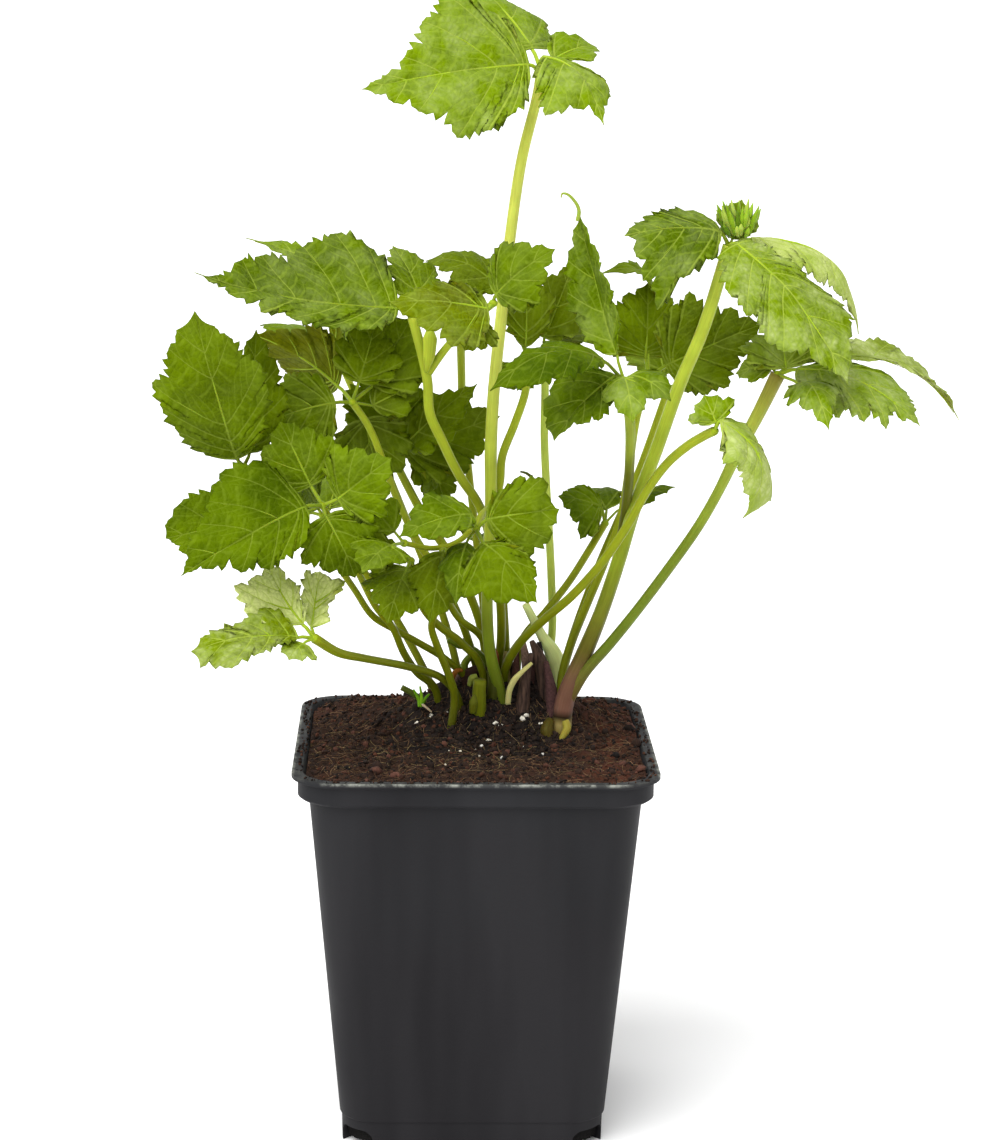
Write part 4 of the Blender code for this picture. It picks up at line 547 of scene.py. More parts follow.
# Each leaf: the petiole that carries it, then its leaflets
LEAVES = {
    "leaf_top": ("stalk_top", [
        leaflet((14.5, 327, -8), (-35.5, 319, -24), 36, (-0.1, -0.9, 0.35), "top_main", arch=3,
                fold=10, roll=14),
        leaflet((18.5, 329.5, -9), (37, 309, -30), 26, (0.35, -0.6, 0.7), "top_side", arch=6,
                fold=-8, roll=30),
        leaflet((15.5, 331.5, 0), (-4, 350, 26), 30, (0.2, -0.5, 0.8), arch=3, fold=-12, roll=20),
        leaflet((21.5, 328.5, -4), (34.5, 332, 8), 15, (0, -0.6, 0.8), "small", arch=2, fold=10),
    ]),
    "leaf_upper_left": ("stalk_bud", [
        leaflet((-24, 254, -17), (-85.5, 264, -34), 36, (0.0, -0.75, 0.66), "upper_left",
                arch=-4, fold=8, roll=8),
        leaflet((-26, 256, -8), (-70, 274.5, 6), 13, (0.0, -0.3, 0.95), "small", arch=2, fold=10),
        leaflet((-17, 255, -9), (-26, 272.5, 10), 15, (0.2, -0.5, 0.8), arch=2, fold=10),
    ]),
    "leaf_upper_middle": ("arm_bud", [
        leaflet((3, 254, -26), (-27, 255.5, -34), 22, (-0.1, -0.75, 0.65), arch=2,
                fold=4, skew=-0.4),
        leaflet((5, 258, -25), (23, 272, -28), 21, (0.0, -0.75, 0.65), arch=2, fold=10, roll=20),
        leaflet((1, 251, -28), (-4, 241, -29), 14, (0.1, -0.9, 0.4), arch=2, roll=16),
    ]),
    "leaf_right_top": ("stalk_right", [
        leaflet((73.2, 277.6, -17), (43.7, 276.1, -28), 31, (0.0, -0.72, 0.7), "right_left", arch=3,
                fold=-8, roll=28),
        leaflet((77.6, 274.5, -20), (112.9, 231.4, -44), 36, (0.45, -0.75, 0.5), "right_main",
                arch=5, fold=-2, roll=18),
        leaflet((82, 276, -6), (115.5, 247, -2), 23, (0.6, -0.1, 0.8), arch=11, fold=-16, roll=30),
        leaflet((76.5, 275.5, -14), (79, 287.5, -9), 12, (0.1, -0.9, 0.3), "small", fold=15),
    ]),
    "leaf_far_right": ("petiole_far_right", [
        leaflet((98, 239, 4), (147.6, 220.3, 28), 17, (0.2, -0.25, 0.95), "strap", arch=10.5,
                fold=12),
        leaflet((97, 236.5, -13), (135.4, 219, -28), 27, (0.35, -0.6, 0.72), "far_main", arch=6,
                fold=-6, roll=26),
        leaflet((98, 232, -23), (107.5, 217.5, -44), 15, (0.0, -0.65, 0.75), arch=6, fold=-6,
                roll=30),
        leaflet((94, 236.5, -10), (90.5, 248.5, 0), 24, (0.0, -0.8, 0.6), arch=2, fold=8),
        leaflet((89.5, 236.5, -9), (78.5, 234.5, -2), 9, (0.0, -0.8, 0.6), "small", arch=2),
    ]),
    "leaf_mid_right": ("petiole_mid_right", [
        leaflet((42, 240, -23), (30, 283, -14), 16, (-0.62, -0.78, 0.1), "oval", arch=-2,
                fold=32, sweep=-2),
        leaflet((38, 239, -36), (4, 230.5, -54), 20, (0.05, -0.45, 0.9), "long_left", arch=7,
                fold=-6, roll=25, hook=2),
        leaflet((42, 234, -29), (23.5, 213.5, -39.5), 23.6, (-0.35, -0.85, 0.35), "hanging", arch=4,
                fold=6, roll=24),
        leaflet((44.5, 233.5, -31), (47.5, 219, -44), 14, (0.0, -0.8, 0.55), "small", arch=3,
                roll=30),
        leaflet((46.5, 234, -29), (59, 226, -38), 13, (0.2, -0.8, 0.55), "small", arch=3, roll=30),
    ]),
    "leaf_behind_right": ("petiole_behind_right", [
        leaflet((51, 239, 24), (51, 262, 30), 29, (0.1, -0.95, 0.3), "lobed", arch=2, fold=8,
                roll=10),
        leaflet((57, 237, 17), (86.5, 250, 10), 27, (0.1, -0.95, 0.3), "lobed", arch=3, fold=8,
                roll=10, skew=-0.1),
        leaflet((51.5, 254, 33), (36.5, 264.5, 22), 11, (-0.3, -0.5, 0.8), "small", arch=9),
    ]),
    "leaf_front_right": ("petiole_front_right", [
        leaflet((74, 220.4, -34), (81.9, 190, -40), 20, (0.75, -0.6, 0.35), "front_main", arch=8,
                fold=-10, roll=20, sweep=-4.5),
        leaflet((73, 219.5, -33), (69, 228, -31), 13, (-0.2, -0.8, 0.5), "small", arch=1, fold=5),
    ]),
    "leaf_edge_right": ("petiole_edge_right", [
        leaflet((44, 193, 37), (61, 199.5, 42), 9, (0.0, -0.3, 0.95), "small", arch=2, roll=20),
        leaflet((38.5, 193.5, 35.5), (25, 196.5, 31), 18, (0.1, -0.7, 0.7), arch=1, roll=20,
                skew=-0.3),
        leaflet((40, 192.5, 40), (33, 198, 58), 16, (0.0, -0.5, 0.85), "small", arch=3, roll=20),
    ]),
    "leaf_left_upper": ("petiole_left_upper", [
        leaflet((-73, 207, -29), (-85.5, 252.5, -40), 29, (-0.15, -0.95, 0.2), "left_upper",
                arch=3, fold=6, roll=12),
        leaflet((-69, 209, -25), (-67, 247, -18), 19, (0.5, -0.85, 0.15), "oval", fold=10),
    ]),
    "leaf_left_front": ("petiole_left_front", [
        leaflet((-52, 193, -38), (-90.4, 170.8, -55), 33, (-0.15, -0.95, 0.3), "left_front", arch=4,
                fold=5, roll=16),
        leaflet((-54, 190, -31), (-95, 182.5, -38), 22, (-0.1, -0.9, 0.4), "left_side", arch=3,
                fold=5, roll=16),
        leaflet((-50.5, 199, -29), (-60, 219, -26), 24, (0.0, -0.95, 0.3), arch=2, fold=6,
                roll=10, skew=-0.1),
        leaflet((-42.5, 195, -33), (-26, 208, -37), 23, (0.05, -0.95, 0.3), arch=2, fold=6,
                roll=10),
        leaflet((-46, 190, -35), (-37, 170.5, -38), 22.5, (0.1, -0.9, 0.4), arch=3, fold=4, roll=4),
    ]),
    "leaf_left_back": ("petiole_left_back", [
        leaflet((-42, 230, -3), (-67.5, 245.5, 2), 24, (0.25, 0.8, 0.5), "lobed", arch=2.4, fold=6),
        leaflet((-43, 225, -13), (-67, 217, -9), 22, (-0.1, -0.9, 0.4), "lobed", arch=3.2, fold=4,
                roll=16),
        leaflet((-36, 231, -12), (-31, 250, -6), 19, (0.2, -0.9, 0.3), arch=1.6, fold=8),
        leaflet((-32, 230, -8), (-20, 251, -1), 24, (0.1, -0.9, 0.4), arch=1.6, fold=6),
        leaflet((-32, 224, -9), (-17, 231, -4), 14, (0.2, -0.8, 0.5), "small", arch=1.6, fold=8),
        leaflet((-34.5, 220, -0.5), (-29, 197, 3), 23.5, (0.1, -0.95, 0.3), arch=2.4, fold=5,
                roll=12),
    ]),
    "leaf_left_low": ("petiole_left_low", [
        leaflet((-54.5, 152, -49), (-87.5, 147, -58), 19, (0.1, -0.55, 0.83), "low_main", arch=3,
                fold=12, roll=10),
        leaflet((-53, 156, -45), (-64.6, 176, -36), 24, (0.3, -0.8, 0.5), "low_upper", arch=-2,
                fold=10),
        leaflet((-50.3, 155, -42), (-47.8, 172.6, -30), 16, (0.15, -0.85, 0.45), "low_upright",
                arch=-2, fold=14),
        leaflet((-53, 150, -50), (-57.5, 144.5, -58), 12, (0.0, -0.7, 0.7), "small", arch=1,
                fold=-5),
    ]),
    "leaf_centre_back": ("petiole_centre_back", [
        leaflet((-22, 212, 5), (0, 231, 2), 15, (-0.2, -0.75, 0.55), arch=1.6, fold=10, skew=0.35),
        leaflet((-22, 209.5, 12.5), (7, 221, 18), 25, (0.1, -0.9, 0.4), arch=2.4, fold=6, roll=10),
        leaflet((-19, 209.5, 15.5), (-8.5, 202, 24), 18, (0.1, -0.9, 0.4), arch=1.6, fold=6),
        leaflet((-13.5, 207, 17.5), (-9.3, 193.2, 24), 11, (0.1, -0.9, 0.4), "oval", arch=0.8),
        leaflet((-28, 213, 13), (-29, 244, 18), 23, (0.1, -0.9, 0.4), arch=2.4, fold=6, roll=10),
    ]),
    "leaf_centre_front": ("petiole_centre_front", [
        leaflet((-1, 190.5, -36), (-23.5, 183.5, -44), 15, (0.0, -0.65, 0.75), "oval", arch=3,
                fold=10),
        leaflet((3, 189, -35), (25.5, 192.5, -36), 28, (0.05, -0.95, 0.3), "centre_right", arch=3,
                fold=6, roll=12),
        leaflet((2, 182, -40), (19, 163, -56), 28, (0.1, -0.85, 0.5), "centre_low", arch=4, fold=5,
                roll=20),
        leaflet((-3, 182, -37), (-6, 162, -46), 13, (-0.1, -0.85, 0.5), "small", arch=5, fold=-8,
                roll=30),
    ]),
    "leaf_arched_left": ("petiole_arched_left", [
        leaflet((-25, 185, -27), (-34.5, 197, -22), 12, (-0.2, -0.9, 0.3), "small", arch=1,
                fold=10),
        leaflet((-26, 181, -38.5), (-35, 172, -55), 16, (-0.2, -0.8, 0.5), "small", arch=2),
    ]),
    "leaf_low_dark": ("petiole_low_dark", [
        leaflet((-10, 179, -31), (-14, 156, -40), 16, (0.0, -0.9, 0.4), "small", arch=3, roll=20),
    ]),
    "leaf_low_left": ("petiole_low_left", [
        leaflet((-21, 174, -29), (-27, 156, -39), 20, (-0.1, -0.9, 0.4), arch=3, roll=20),
        leaflet((-24, 178.5, -29), (-52, 178.5, -32), 12, (0.1, -0.9, 0.4), arch=2),
    ]),
    "leaf_middle": ("petiole_middle", [
        leaflet((20, 245, 12), (29, 268, 16), 17, (0.0, -0.95, 0.3), arch=2, fold=8),
        leaflet((23, 244, 17), (34, 250, 38), 19, (0.1, -0.4, 0.9), arch=3, fold=8),
    ]),
    "leaf_stalk_side": ("petiole_stalk_side", [
        leaflet((14.5, 242, 4), (14, 262, 6), 16, (0.2, -0.9, 0.3), "fan", arch=2, fold=10),
        leaflet((7, 260, 10), (-16, 268, 20), 15, (0.0, -0.6, 0.8), arch=5, roll=20),
        leaflet((12, 236.5, 7.2), (9, 229.5, 10), 13, (0.1, -0.9, 0.4), arch=1),
    ]),
    "leaf_rear_left": ("petiole_rear_left", [
        leaflet((-46, 240, 45), (-66, 248, 60), 20, (-0.4, 0.3, 0.85), "small", arch=4, roll=25),
        leaflet((-39, 240, 48), (-27, 253, 70), 20, (0.3, 0.4, 0.85), "small", arch=4, roll=25),
        leaflet((-43, 242, 41), (-48, 256, 26), 17, (0.0, -0.6, 0.8), "small", arch=3, roll=20),
    ]),
    "leaf_rear_low": ("petiole_rear_low", [
        leaflet((-51, 191, 43), (-79, 198, 50), 20, (-0.3, 0.4, 0.85), "small", arch=4, roll=25),
        leaflet((-45, 192, 47), (-38, 202, 70), 20, (0.1, 0.5, 0.85), "small", arch=4, roll=25),
        leaflet((-49, 193, 40), (-62, 208, 30), 17, (-0.3, -0.6, 0.75), "small", arch=3, roll=20),
    ]),
    "leaf_rear_middle": ("petiole_rear_middle", [
        leaflet((2, 181, 48), (-15, 189, 62), 16, (-0.3, 0.5, 0.8), "small", arch=4, roll=25),
        leaflet((8, 181, 49), (20, 188, 66), 16, (0.3, 0.5, 0.8), "small", arch=4, roll=25),
    ]),
    "leaf_rear_right": ("petiole_rear_right", [
        leaflet((57, 234, 52), (52, 250, 74), 20, (-0.2, 0.5, 0.85), "small", arch=4, roll=25),
        leaflet((62, 232, 49), (84, 242, 58), 20, (0.4, 0.3, 0.85), "small", arch=4, roll=25),
    ]),
}

# How each leaflet looks: how deep its green is, which also paints shade on leaflets that lie in
# shade, and how olive, from 0 to 1, and how downy, which also paints their highlights, where more
# than 1 is paler too as painted light. A leaf's last row serves the rest of its leaflets.
PLAIN_TONE = (0.55, 0.15, 0.1)
TONES = {
    "leaf_top": [(0.05, 0.0, 0.5), (0.0, 0.0, 0.65), (0.1, 0.0, 0.4)],
    "leaf_upper_left": [(0.85, 0.05, 0.3), (0.3, 0.0, 0.5), (0.6, 0.1, 0.4)],
    "leaf_upper_middle": [(0.1, 0.8, 0.2), (0.75, 0.1, 0.15), (0.5, 0.5, 0.1)],
    "leaf_right_top": [(0.9, 0.0, 0.3), (0.1, 0.0, 1.0), (0.0, 0.0, 1.55), (0.35, 0.0, 0.45)],
    "leaf_far_right": [(0.0, 0.4, 1.35), (0.1, 0.0, 0.95), (0.2, 0.0, 0.8), (0.3, 0.3, 0.5)],
    "leaf_mid_right": [(0.5, 0.0, 0.35), (1.0, 0.0, 0.0), (0.8, 0.0, 0.05), (0.2, 0.0, 0.5),
                       (0.5, 0.0, 0.3)],
    "leaf_behind_right": [(0.7, 0.3, 0.05)],
    "leaf_front_right": [(0.0, 0.0, 1.45), (0.0, 0.1, 0.9)],
    "leaf_edge_right": [(0.9, 0.1, 0.05)],
    "leaf_left_upper": [(0.75, 0.25, 0.0), (0.85, 0.3, 0.0)],
    "leaf_left_front": [(0.95, 0.05, 0.0), (0.9, 0.1, 0.0), (0.75, 0.1, 0.15), (0.6, 0.1, 0.05),
                        (1.0, 0.1, 0.0)],
    "leaf_left_low": [(0.1, 0.6, 1.15), (0.0, 0.4, 1.9), (0.0, 0.3, 1.9), (0.0, 0.4, 1.0)],
    "leaf_left_back": [(0.1, 0.6, 0.15), (1.0, 0.3, 0.0), (0.75, 0.35, 0.05)],
    "leaf_centre_back": [(0.8, 0.35, 0.0)],
    "leaf_centre_front": [(0.75, 0.1, 0.1), (0.7, 0.2, 0.1), (1.0, 0.25, 0.0), (0.9, 0.2, 0.0)],
    "leaf_low_dark": [(1.0, 0.4, 0.0)],
    "leaf_low_left": [(0.85, 0.3, 0.05)],
    "leaf_middle": [(0.7, 0.5, 0.1)],
    "leaf_stalk_side": [(0.6, 0.4, 0.1)],
}

# Colours up each stem: heights in mm and hex values
PLAIN_STOPS = [(118, "3E3C0C"), (136, "606608"), (160, "727A08"), (185, "828C16"), (215, "929E24"),
               (250, "9EAC30"), (300, "A8B83A")]
STOPS = {
    "stalk_top": [(118, "4C5614"), (150, "6A7A18"), (185, "8A9628"), (210, "9EAA38"),
                  (250, "BCC354"), (330, "B8C04C")],
    "stalk_right": [
        (117, "3A3010"), (121, "5E5020"), (124, "9A8A50"), (126.8, "86744A"), (127.1, "20120C"),
        (127.9, "20120C"), (128.3, "704C40"), (138, "6C4A3C"), (148, "5C541C"), (175, "7C8A20"),
        (215, "9CAC30"), (275, "B6C444")],
    "petiole_far_right": [(130, "6B5230"), (150, "5E6E1C"), (185, "6C7C22"), (212, "9CAC3C"),
                          (228, "8E9036"), (240, "7C6C30")],
    "petiole_mid_right": [(130, "6B5230"), (160, "6E6A26"), (186, "505410"), (205, "626818"),
                          (215, "8E9C34"), (240, "98AA3C")],
    "petiole_middle": [(120, "8A9A3C"), (180, "AEBE50"), (240, "A0B244")],
}

# Colours of the old leaf bases
PLAIN_STUB = "5C6A18"
STUB_TINTS = {"sheath_pale": "C4CF86", "stump_green": "646A0E"}

# Small growths of the crown: points (x, z, y), radii and hex values
CROWN_BITS = {
    "curved_pale_sprout": ([
        ([(10.4, 131, 2), (10.8, 135, 1), (12.2, 138.4, 0), (14.5, 141, 0), (17.7, 144, 1)],
         (0.95, 1.0, 0.55), "C4BE78"),
    ], "stem_green"),
    "small_green_sprouts": ([
        ([(-16.8, 130, 4), (-17.4, 132.5, 4), (-18.9, 135.4, 4)], (0.8, 0.3), "6A9C14"),
        ([(-16.8, 130, 4), (-16.4, 133, 4), (-16.9, 136.4, 4)], (0.8, 0.3), "7CAC1C"),
        ([(-16.8, 130, 4), (-15.2, 132.6, 4), (-13.9, 134, 4)], (0.7, 0.3), "5A8C12"),
        ([(-16.6, 131, 4), (-14.6, 129.4, 3), (-13.2, 128.2, 3)], (0.5, 0.25), "B8A486"),
        ([(-15.4, 131, 6), (-18.6, 133.8, 6), (-22.6, 136, 6)], (1.0, 0.95), "4E581C"),
    ], "stem_green"),
    "knobbly_sprout": ([
        ([(-8.6, 151, 16), (-4.8, 149.8, 16), (-1.2, 148.6, 15), (2.0, 145.6, 14), (4.2, 141, 13)],
         (0.6, 1.5, 1.0, 1.5, 1.1), "4C5C0E"),
        ([(-5.8, 149.6, 16), (-3.4, 151.2, 16), (-2.6, 151.6, 16)], (0.5, 0.8), "3E4E0C"),
        ([(-0.2, 147.4, 15), (-3.2, 143.2, 14), (-1.6, 138.6, 13)], (1.0, 1.3, 1.1), "52600E"),
    ], "stem_green"),
    "dark_husks": ([
        ([(-7.4, 138, 9), (-5.8, 141.2, 9), (-3.6, 141.6, 9)], (0.9, 0.9, 0.5), "7E4C10"),
        ([(-4.0, 131, 12), (-2.2, 139.6, 12), (2.4, 141.4, 12), (4.6, 139, 12)],
         (2.0, 2.0, 1.4), "2A160C"),
        ([(-9.6, 129, 12), (-9.2, 136.6, 12), (-7.6, 139.6, 12)], (2.6, 2.2, 1.0), "1C120E"),
        ([(5.6, 129, 8), (6.2, 134.8, 8), (7.0, 139.8, 9)], (2.2, 2.0, 1.0), "2E2014"),
        ([(4.6, 150, 10), (6.4, 146.4, 10), (6.8, 141, 10)], (0.6, 1.1, 0.8), "6E3A14"),
        ([(10.6, 129, 12), (9.6, 138, 12), (9.8, 147.6, 13)], (1.6, 1.8, 0.9), "6C6234"),
        ([(13.2, 128, 14), (12.8, 138, 14), (13.0, 148.4, 15)], (1.6, 1.7, 0.6), "4A2E26"),
        ([(16.0, 128, 14), (16.6, 139, 14), (15.0, 150.2, 15)], (1.8, 2.3, 0.9), "7A6254"),
        ([(19.4, 127, 12), (18.8, 137, 12), (17.8, 146.8, 13)], (1.6, 1.6, 0.6), "3A2420"),
        ([(21.6, 126, 9), (20.8, 138, 10), (19.8, 150.6, 11)], (2.6, 2.4, 0.8), "1E1512"),
        ([(24.4, 124, 4), (24.0, 134, 5), (22.0, 144.6, 6)], (2.0, 2.1, 0.8), "4E3432"),
        ([(-13.0, 128, 17), (-11.6, 134.2, 17), (-8.8, 137.2, 17)], (3.0, 2.8, 1.4), "1A110D"),
        ([(1.0, 129, 19), (1.4, 137, 19), (2.6, 141, 19)], (3.2, 3.0, 1.6), "22170F"),
        ([(12.6, 128, 21), (12.4, 138, 21), (11.4, 144, 21)], (3.2, 3.0, 1.4), "2A1C16"),
        ([(20.0, 126, 19), (20.2, 138, 19), (19.4, 145.4, 19)], (3.0, 3.0, 1.4), "1C1411"),
    ], "old_sheath"),
    "stump_knobs": ([
        ([(5.4, 128, 6), (6.0, 136, 6), (5.0, 142.4, 7)], (2.2, 2.4, 1.3), "363A0A"),
        ([(-1.6, 136.6, 3), (-0.8, 139.0, 3), (0.8, 139.8, 3)], (0.8, 1.2, 0.8), "727A30"),
        ([(-0.4, 128, 0.6), (-0.2, 131.4, 0.2), (0.4, 134.0, 0.4)], (1.2, 1.5, 0.7), "565A10"),
    ], "stem_green"),
    "yellow_root": ([
        ([(27.6, 126.4, -1), (28.9, 123.6, -3), (27.9, 121, -4), (26.2, 117.6, -5)],
         (1.5, 1.3, 0.8), "948834"),
        ([(23.8, 126, -1), (22.6, 122.6, -3), (23.6, 118, -4)], (1.4, 2.2, 1.6), "463C12"),
    ], "stem_green"),
}

# Curled ends of leaves, in the same way
LEAF_BITS = {
    "curled_tip": ([
        ([(29.6, 280.5, -14), (30.0, 283.4, -14), (29.1, 285.8, -14), (26.9, 288.2, -14),
          (25.0, 288.7, -14), (24.5, 287.4, -14)], (0.7, 0.5, 0.2), "8FA23C"),
    ], "leaf_green"),
    "dry_curl": ([
        ([(13.3, 204.0, 0), (15.4, 203.4, 0), (18.0, 201.3, 0), (20.7, 199.4, 0)], (0.3, 0.5, 0.25),
         "3C4412"),
    ], "leaf_green"),
}

# The tuft of young leaves over the right stalk
TUFT_FOOT = (78.6, 276.0, -13.5)
TUFT_SPIKES = 70
TUFT_STEPS = 3
TUFT_LEANS = (-0.8, 0.7)
TUFT_DEPTHS = (-0.9, 0.5)
TUFT_LENGTHS = (3.0, 10.5)
TUFT_RADII = (0.6, 0.95, 0.15)
TUFT_COLOURS = ("6C8C10", "86A428", "4E6C0C", "7A9A1C", "98AC44")

# Perlite that the photo shows: where it is seen, and its size
PERLITE_COLOUR = "E4DED0"
PERLITE_SPOTS = [(15.0, 124.6, 1.5), (6.2, 124.2, 0.9), (8.0, 123.2, 0.8), (20.4, 124.2, 0.9),
                 (-18.2, 124.0, 0.7), (11.6, 124.0, 0.6), (4.2, 118.6, 0.8), (-13.6, 126.2, 0.5)]


# Materials

# The two sides of a leaf: greens, of which the deep one is also painted shade and the shaded one
# painted shade in random patches, colours of its veins, gloss, how much of the veins shows where
# there is no down, and how far they stand up or sink in
LEAF_SIDES = {
    "quilted_leaf": {
        "young": "789404", "deep": "3E5600", "olive": "666A00", "fresh": "84A006",
        "shaded": "364C00", "fine_vein": "9CB438", "main_vein": "AEC24A",
        "rough": 0.5, "fine_shows": 0.14, "main_shows": 0.26, "vein_rise": -1.1},
    "leaf_underside": {
        "young": "808C08", "deep": "565F02", "olive": "6A6604", "fresh": "8C9A14",
        "shaded": "485000", "fine_vein": "3E4400", "main_vein": "949E20",
        "rough": 0.58, "fine_shows": 0.4, "main_shows": 0.5, "vein_rise": 1.3},
}
# Down, which also stands for painted highlights, and a paler down that is painted light on leaflets
# that glow from behind
DOWN_AND_PAINTED_HIGHLIGHT = "B8C67A"
PALE_DOWN_AND_PAINTED_LIGHT = "D8E28C"
GLOW_COLOUR = "8FA600"
FINE_VEIN_HALF = 0.67
FINE_VEIN_SPACING = 2.1
STEM_STREAKS = 26.0
ROOT_BALL_NEAR = 20.0
ROOT_BALL_FAR = 40.0


def grain(size):
    """Scale of a pattern whose cells are about that many millimetres wide."""
    return 1 / (size * MM)


def maths(tree, operation, *values):
    """A Math node on the values."""
    return add(tree, "Math", values, operation=operation)


def remap(tree, *values, smooth=False):
    """A value taken from one range to another: the value, then the ends of both ranges."""
    kind = "SMOOTHSTEP" if smooth else "LINEAR"
    return add(tree, "MapRange", values, interpolation_type=kind)


def speckle(tree, place, scale, detail, rough=0.5):
    """Noise over the place."""
    inputs = {"Vector": place, "Scale": scale, "Detail": detail, "Roughness": rough}
    return add(tree, "TexNoise", inputs)


def coated(tree, colour, *coats):
    """The colour under coats. Each coat is the share of it that shows and its own colour."""
    for share, coat in coats:
        colour = add(tree, "Mix", {0: share, 6: colour, 7: coat}, data_type="RGBA")
    return colour


def relief(tree, strength, depth, height):
    """A bump that is that many millimetres deep."""
    return add(tree, "Bump", {"Strength": strength, "Distance": depth * MM, "Height": height})


def vein_mask(tree, flat, rank):
    """Masks of the blade: its main veins, its finer veins and its puffed cells. Flat holds the
    place on the blade in millimetres, and rank the row and the way to the next one."""
    place = add(tree, "SeparateColor", [flat])
    ranks = add(tree, "SeparateColor", [rank])

    def line(distance, half_width):
        core = maths(tree, "MULTIPLY", half_width, 0.35)
        return remap(tree, distance, half_width, core, 0.0, 1.0, smooth=True)

    off_midrib = maths(tree, "ABSOLUTE", place.outputs[1])
    midrib_width = remap(tree, rank.outputs["Alpha"], 0.0, 1.0, 0.55, 0.14)
    side = maths(tree, "SUBTRACT", maths(tree, "MODULO", ranks.outputs[0], 2.0), 1.0)
    gap = maths(tree, "MULTIPLY", maths(tree, "ABSOLUTE", side), ranks.outputs[2])
    lateral_width = remap(tree, place.outputs[2], 0.0, 1.0, 0.36, 0.12)
    main = maths(tree, "MAXIMUM", line(off_midrib, midrib_width), line(gap, lateral_width))
    drift = speckle(tree, flat, 1 / 6.25, 1.0)
    bent = maths(tree, "POWER", gap, 1.25)
    lean = maths(tree, "MULTIPLY_ADD", bent, -0.6, ranks.outputs[1])
    shift = maths(tree, "MULTIPLY_ADD", maths(tree, "SIGN", side), 1.1, lean)
    wander = maths(tree, "MULTIPLY_ADD", drift, 3.0, shift)
    branch = line(maths(tree, "PINGPONG", wander, FINE_VEIN_SPACING), FINE_VEIN_HALF)
    net = add(tree, "TexVoronoi", {"Vector": flat, "Scale": 1 / 1.818},
              feature="DISTANCE_TO_EDGE", voronoi_dimensions="2D")
    mesh = remap(tree, net, 0.09, 0.01, 0.0, 1.0, smooth=True)
    finer = maths(tree, "MAXIMUM", branch, maths(tree, "MULTIPLY", mesh, 0.55))
    pads = remap(tree, net, 0.0, 0.45, 0.0, 1.0, smooth=True)
    return main, finer, pads


def leaf_material(name):
    """Living leaf: a quilted blade with paler veins. Some light passes through it, which makes it
    glow yellow-green from behind, and a short down dusts the young ones with grey. The down also
    paints highlights, a paler down paints light on leaflets that glow, and the deep green also
    paints shade."""
    side = LEAF_SIDES[name]
    made, tree, shader = new_material(name, Roughness=side["rough"], Specular_IOR_Level=0.1,
                                      Specular_Tint=srgb("D8E878"))
    flat = add(tree, "Attribute", attribute_name="flat")
    rank = add(tree, "Attribute", attribute_name="rank")
    tone = add(tree, "Attribute", attribute_name="tone")
    deep, olive, downy = add(tree, "SeparateColor", [tone]).outputs[:3]
    main, finer, pads = vein_mask(tree, flat, rank)
    place = add(tree, "TexCoord").outputs["Object"]
    patch = speckle(tree, place, grain(13.33), 3.0)
    bloom = speckle(tree, place, grain(3.846), 3.0)
    veil = speckle(tree, place, grain(9.091), 5.0, 0.62)
    clouds = maths(tree, "MULTIPLY", remap(tree, veil, 0.42, 0.66, 0.0, 1.0),
                   remap(tree, bloom, 0.36, 0.56, 0.5, 1.0))
    down_and_highlight_patches = maths(tree, "MULTIPLY", clouds, maths(tree, "MULTIPLY_ADD", pads, 0.3, 0.7))
    pale_down_and_painted_light = remap(tree, downy, 1.1, 1.9, 0.0, 1.0)
    patchy = remap(tree, patch, 0.36, 0.62, 0.25, 0.9)
    fine_share = remap(tree, downy, 0.0, 0.6, side["fine_shows"], 0.42)
    main_share = remap(tree, downy, 0.0, 0.6, side["main_shows"], 0.7)
    # The deep green, laid on by each leaflet's tone, is partly painted shade
    green = coated(tree, side["young"], (deep, side["deep"]))
    colour = coated(
        tree, green,
        (olive, side["olive"]),
        (remap(tree, patch, 0.36, 0.66, 0.0, 0.45), side["fresh"]),
        (remap(tree, bloom, 0.3, 0.5, 0.4, 0.0), side["shaded"]),
        # The down coat also paints highlights, and the pale one paints light where a leaflet's down
        # is above 1
        (maths(tree, "MULTIPLY", down_and_highlight_patches, downy), DOWN_AND_PAINTED_HIGHLIGHT),
        (maths(tree, "MULTIPLY", pale_down_and_painted_light, patchy), PALE_DOWN_AND_PAINTED_LIGHT),
        (maths(tree, "MULTIPLY", finer, fine_share), side["fine_vein"]),
        (maths(tree, "MULTIPLY", main, main_share), side["main_vein"]))
    veins = maths(tree, "MULTIPLY_ADD", finer, 0.5, main)
    height = maths(tree, "MULTIPLY_ADD", veins, side["vein_rise"], pads)
    feed(tree, shader, Base_Color=colour, Normal=relief(tree, 0.45, 0.3, height))
    dimmer = maths(tree, "MULTIPLY_ADD", veins, -0.35, 0.9)
    glow = coated(tree, green, (0.55, GLOW_COLOUR))
    lit = add(tree, "HueSaturation", {"Value": dimmer, "Color": glow})
    through = add(tree, "BsdfTranslucent", {"Color": lit})
    thin = remap(tree, downy, 0.0, 2.0, 0.35, 0.22)
    both = add(tree, "MixShader", [thin, shader, through])
    tree.links.new(both.outputs[0], tree.nodes["Material Output"].inputs[0])
    return made


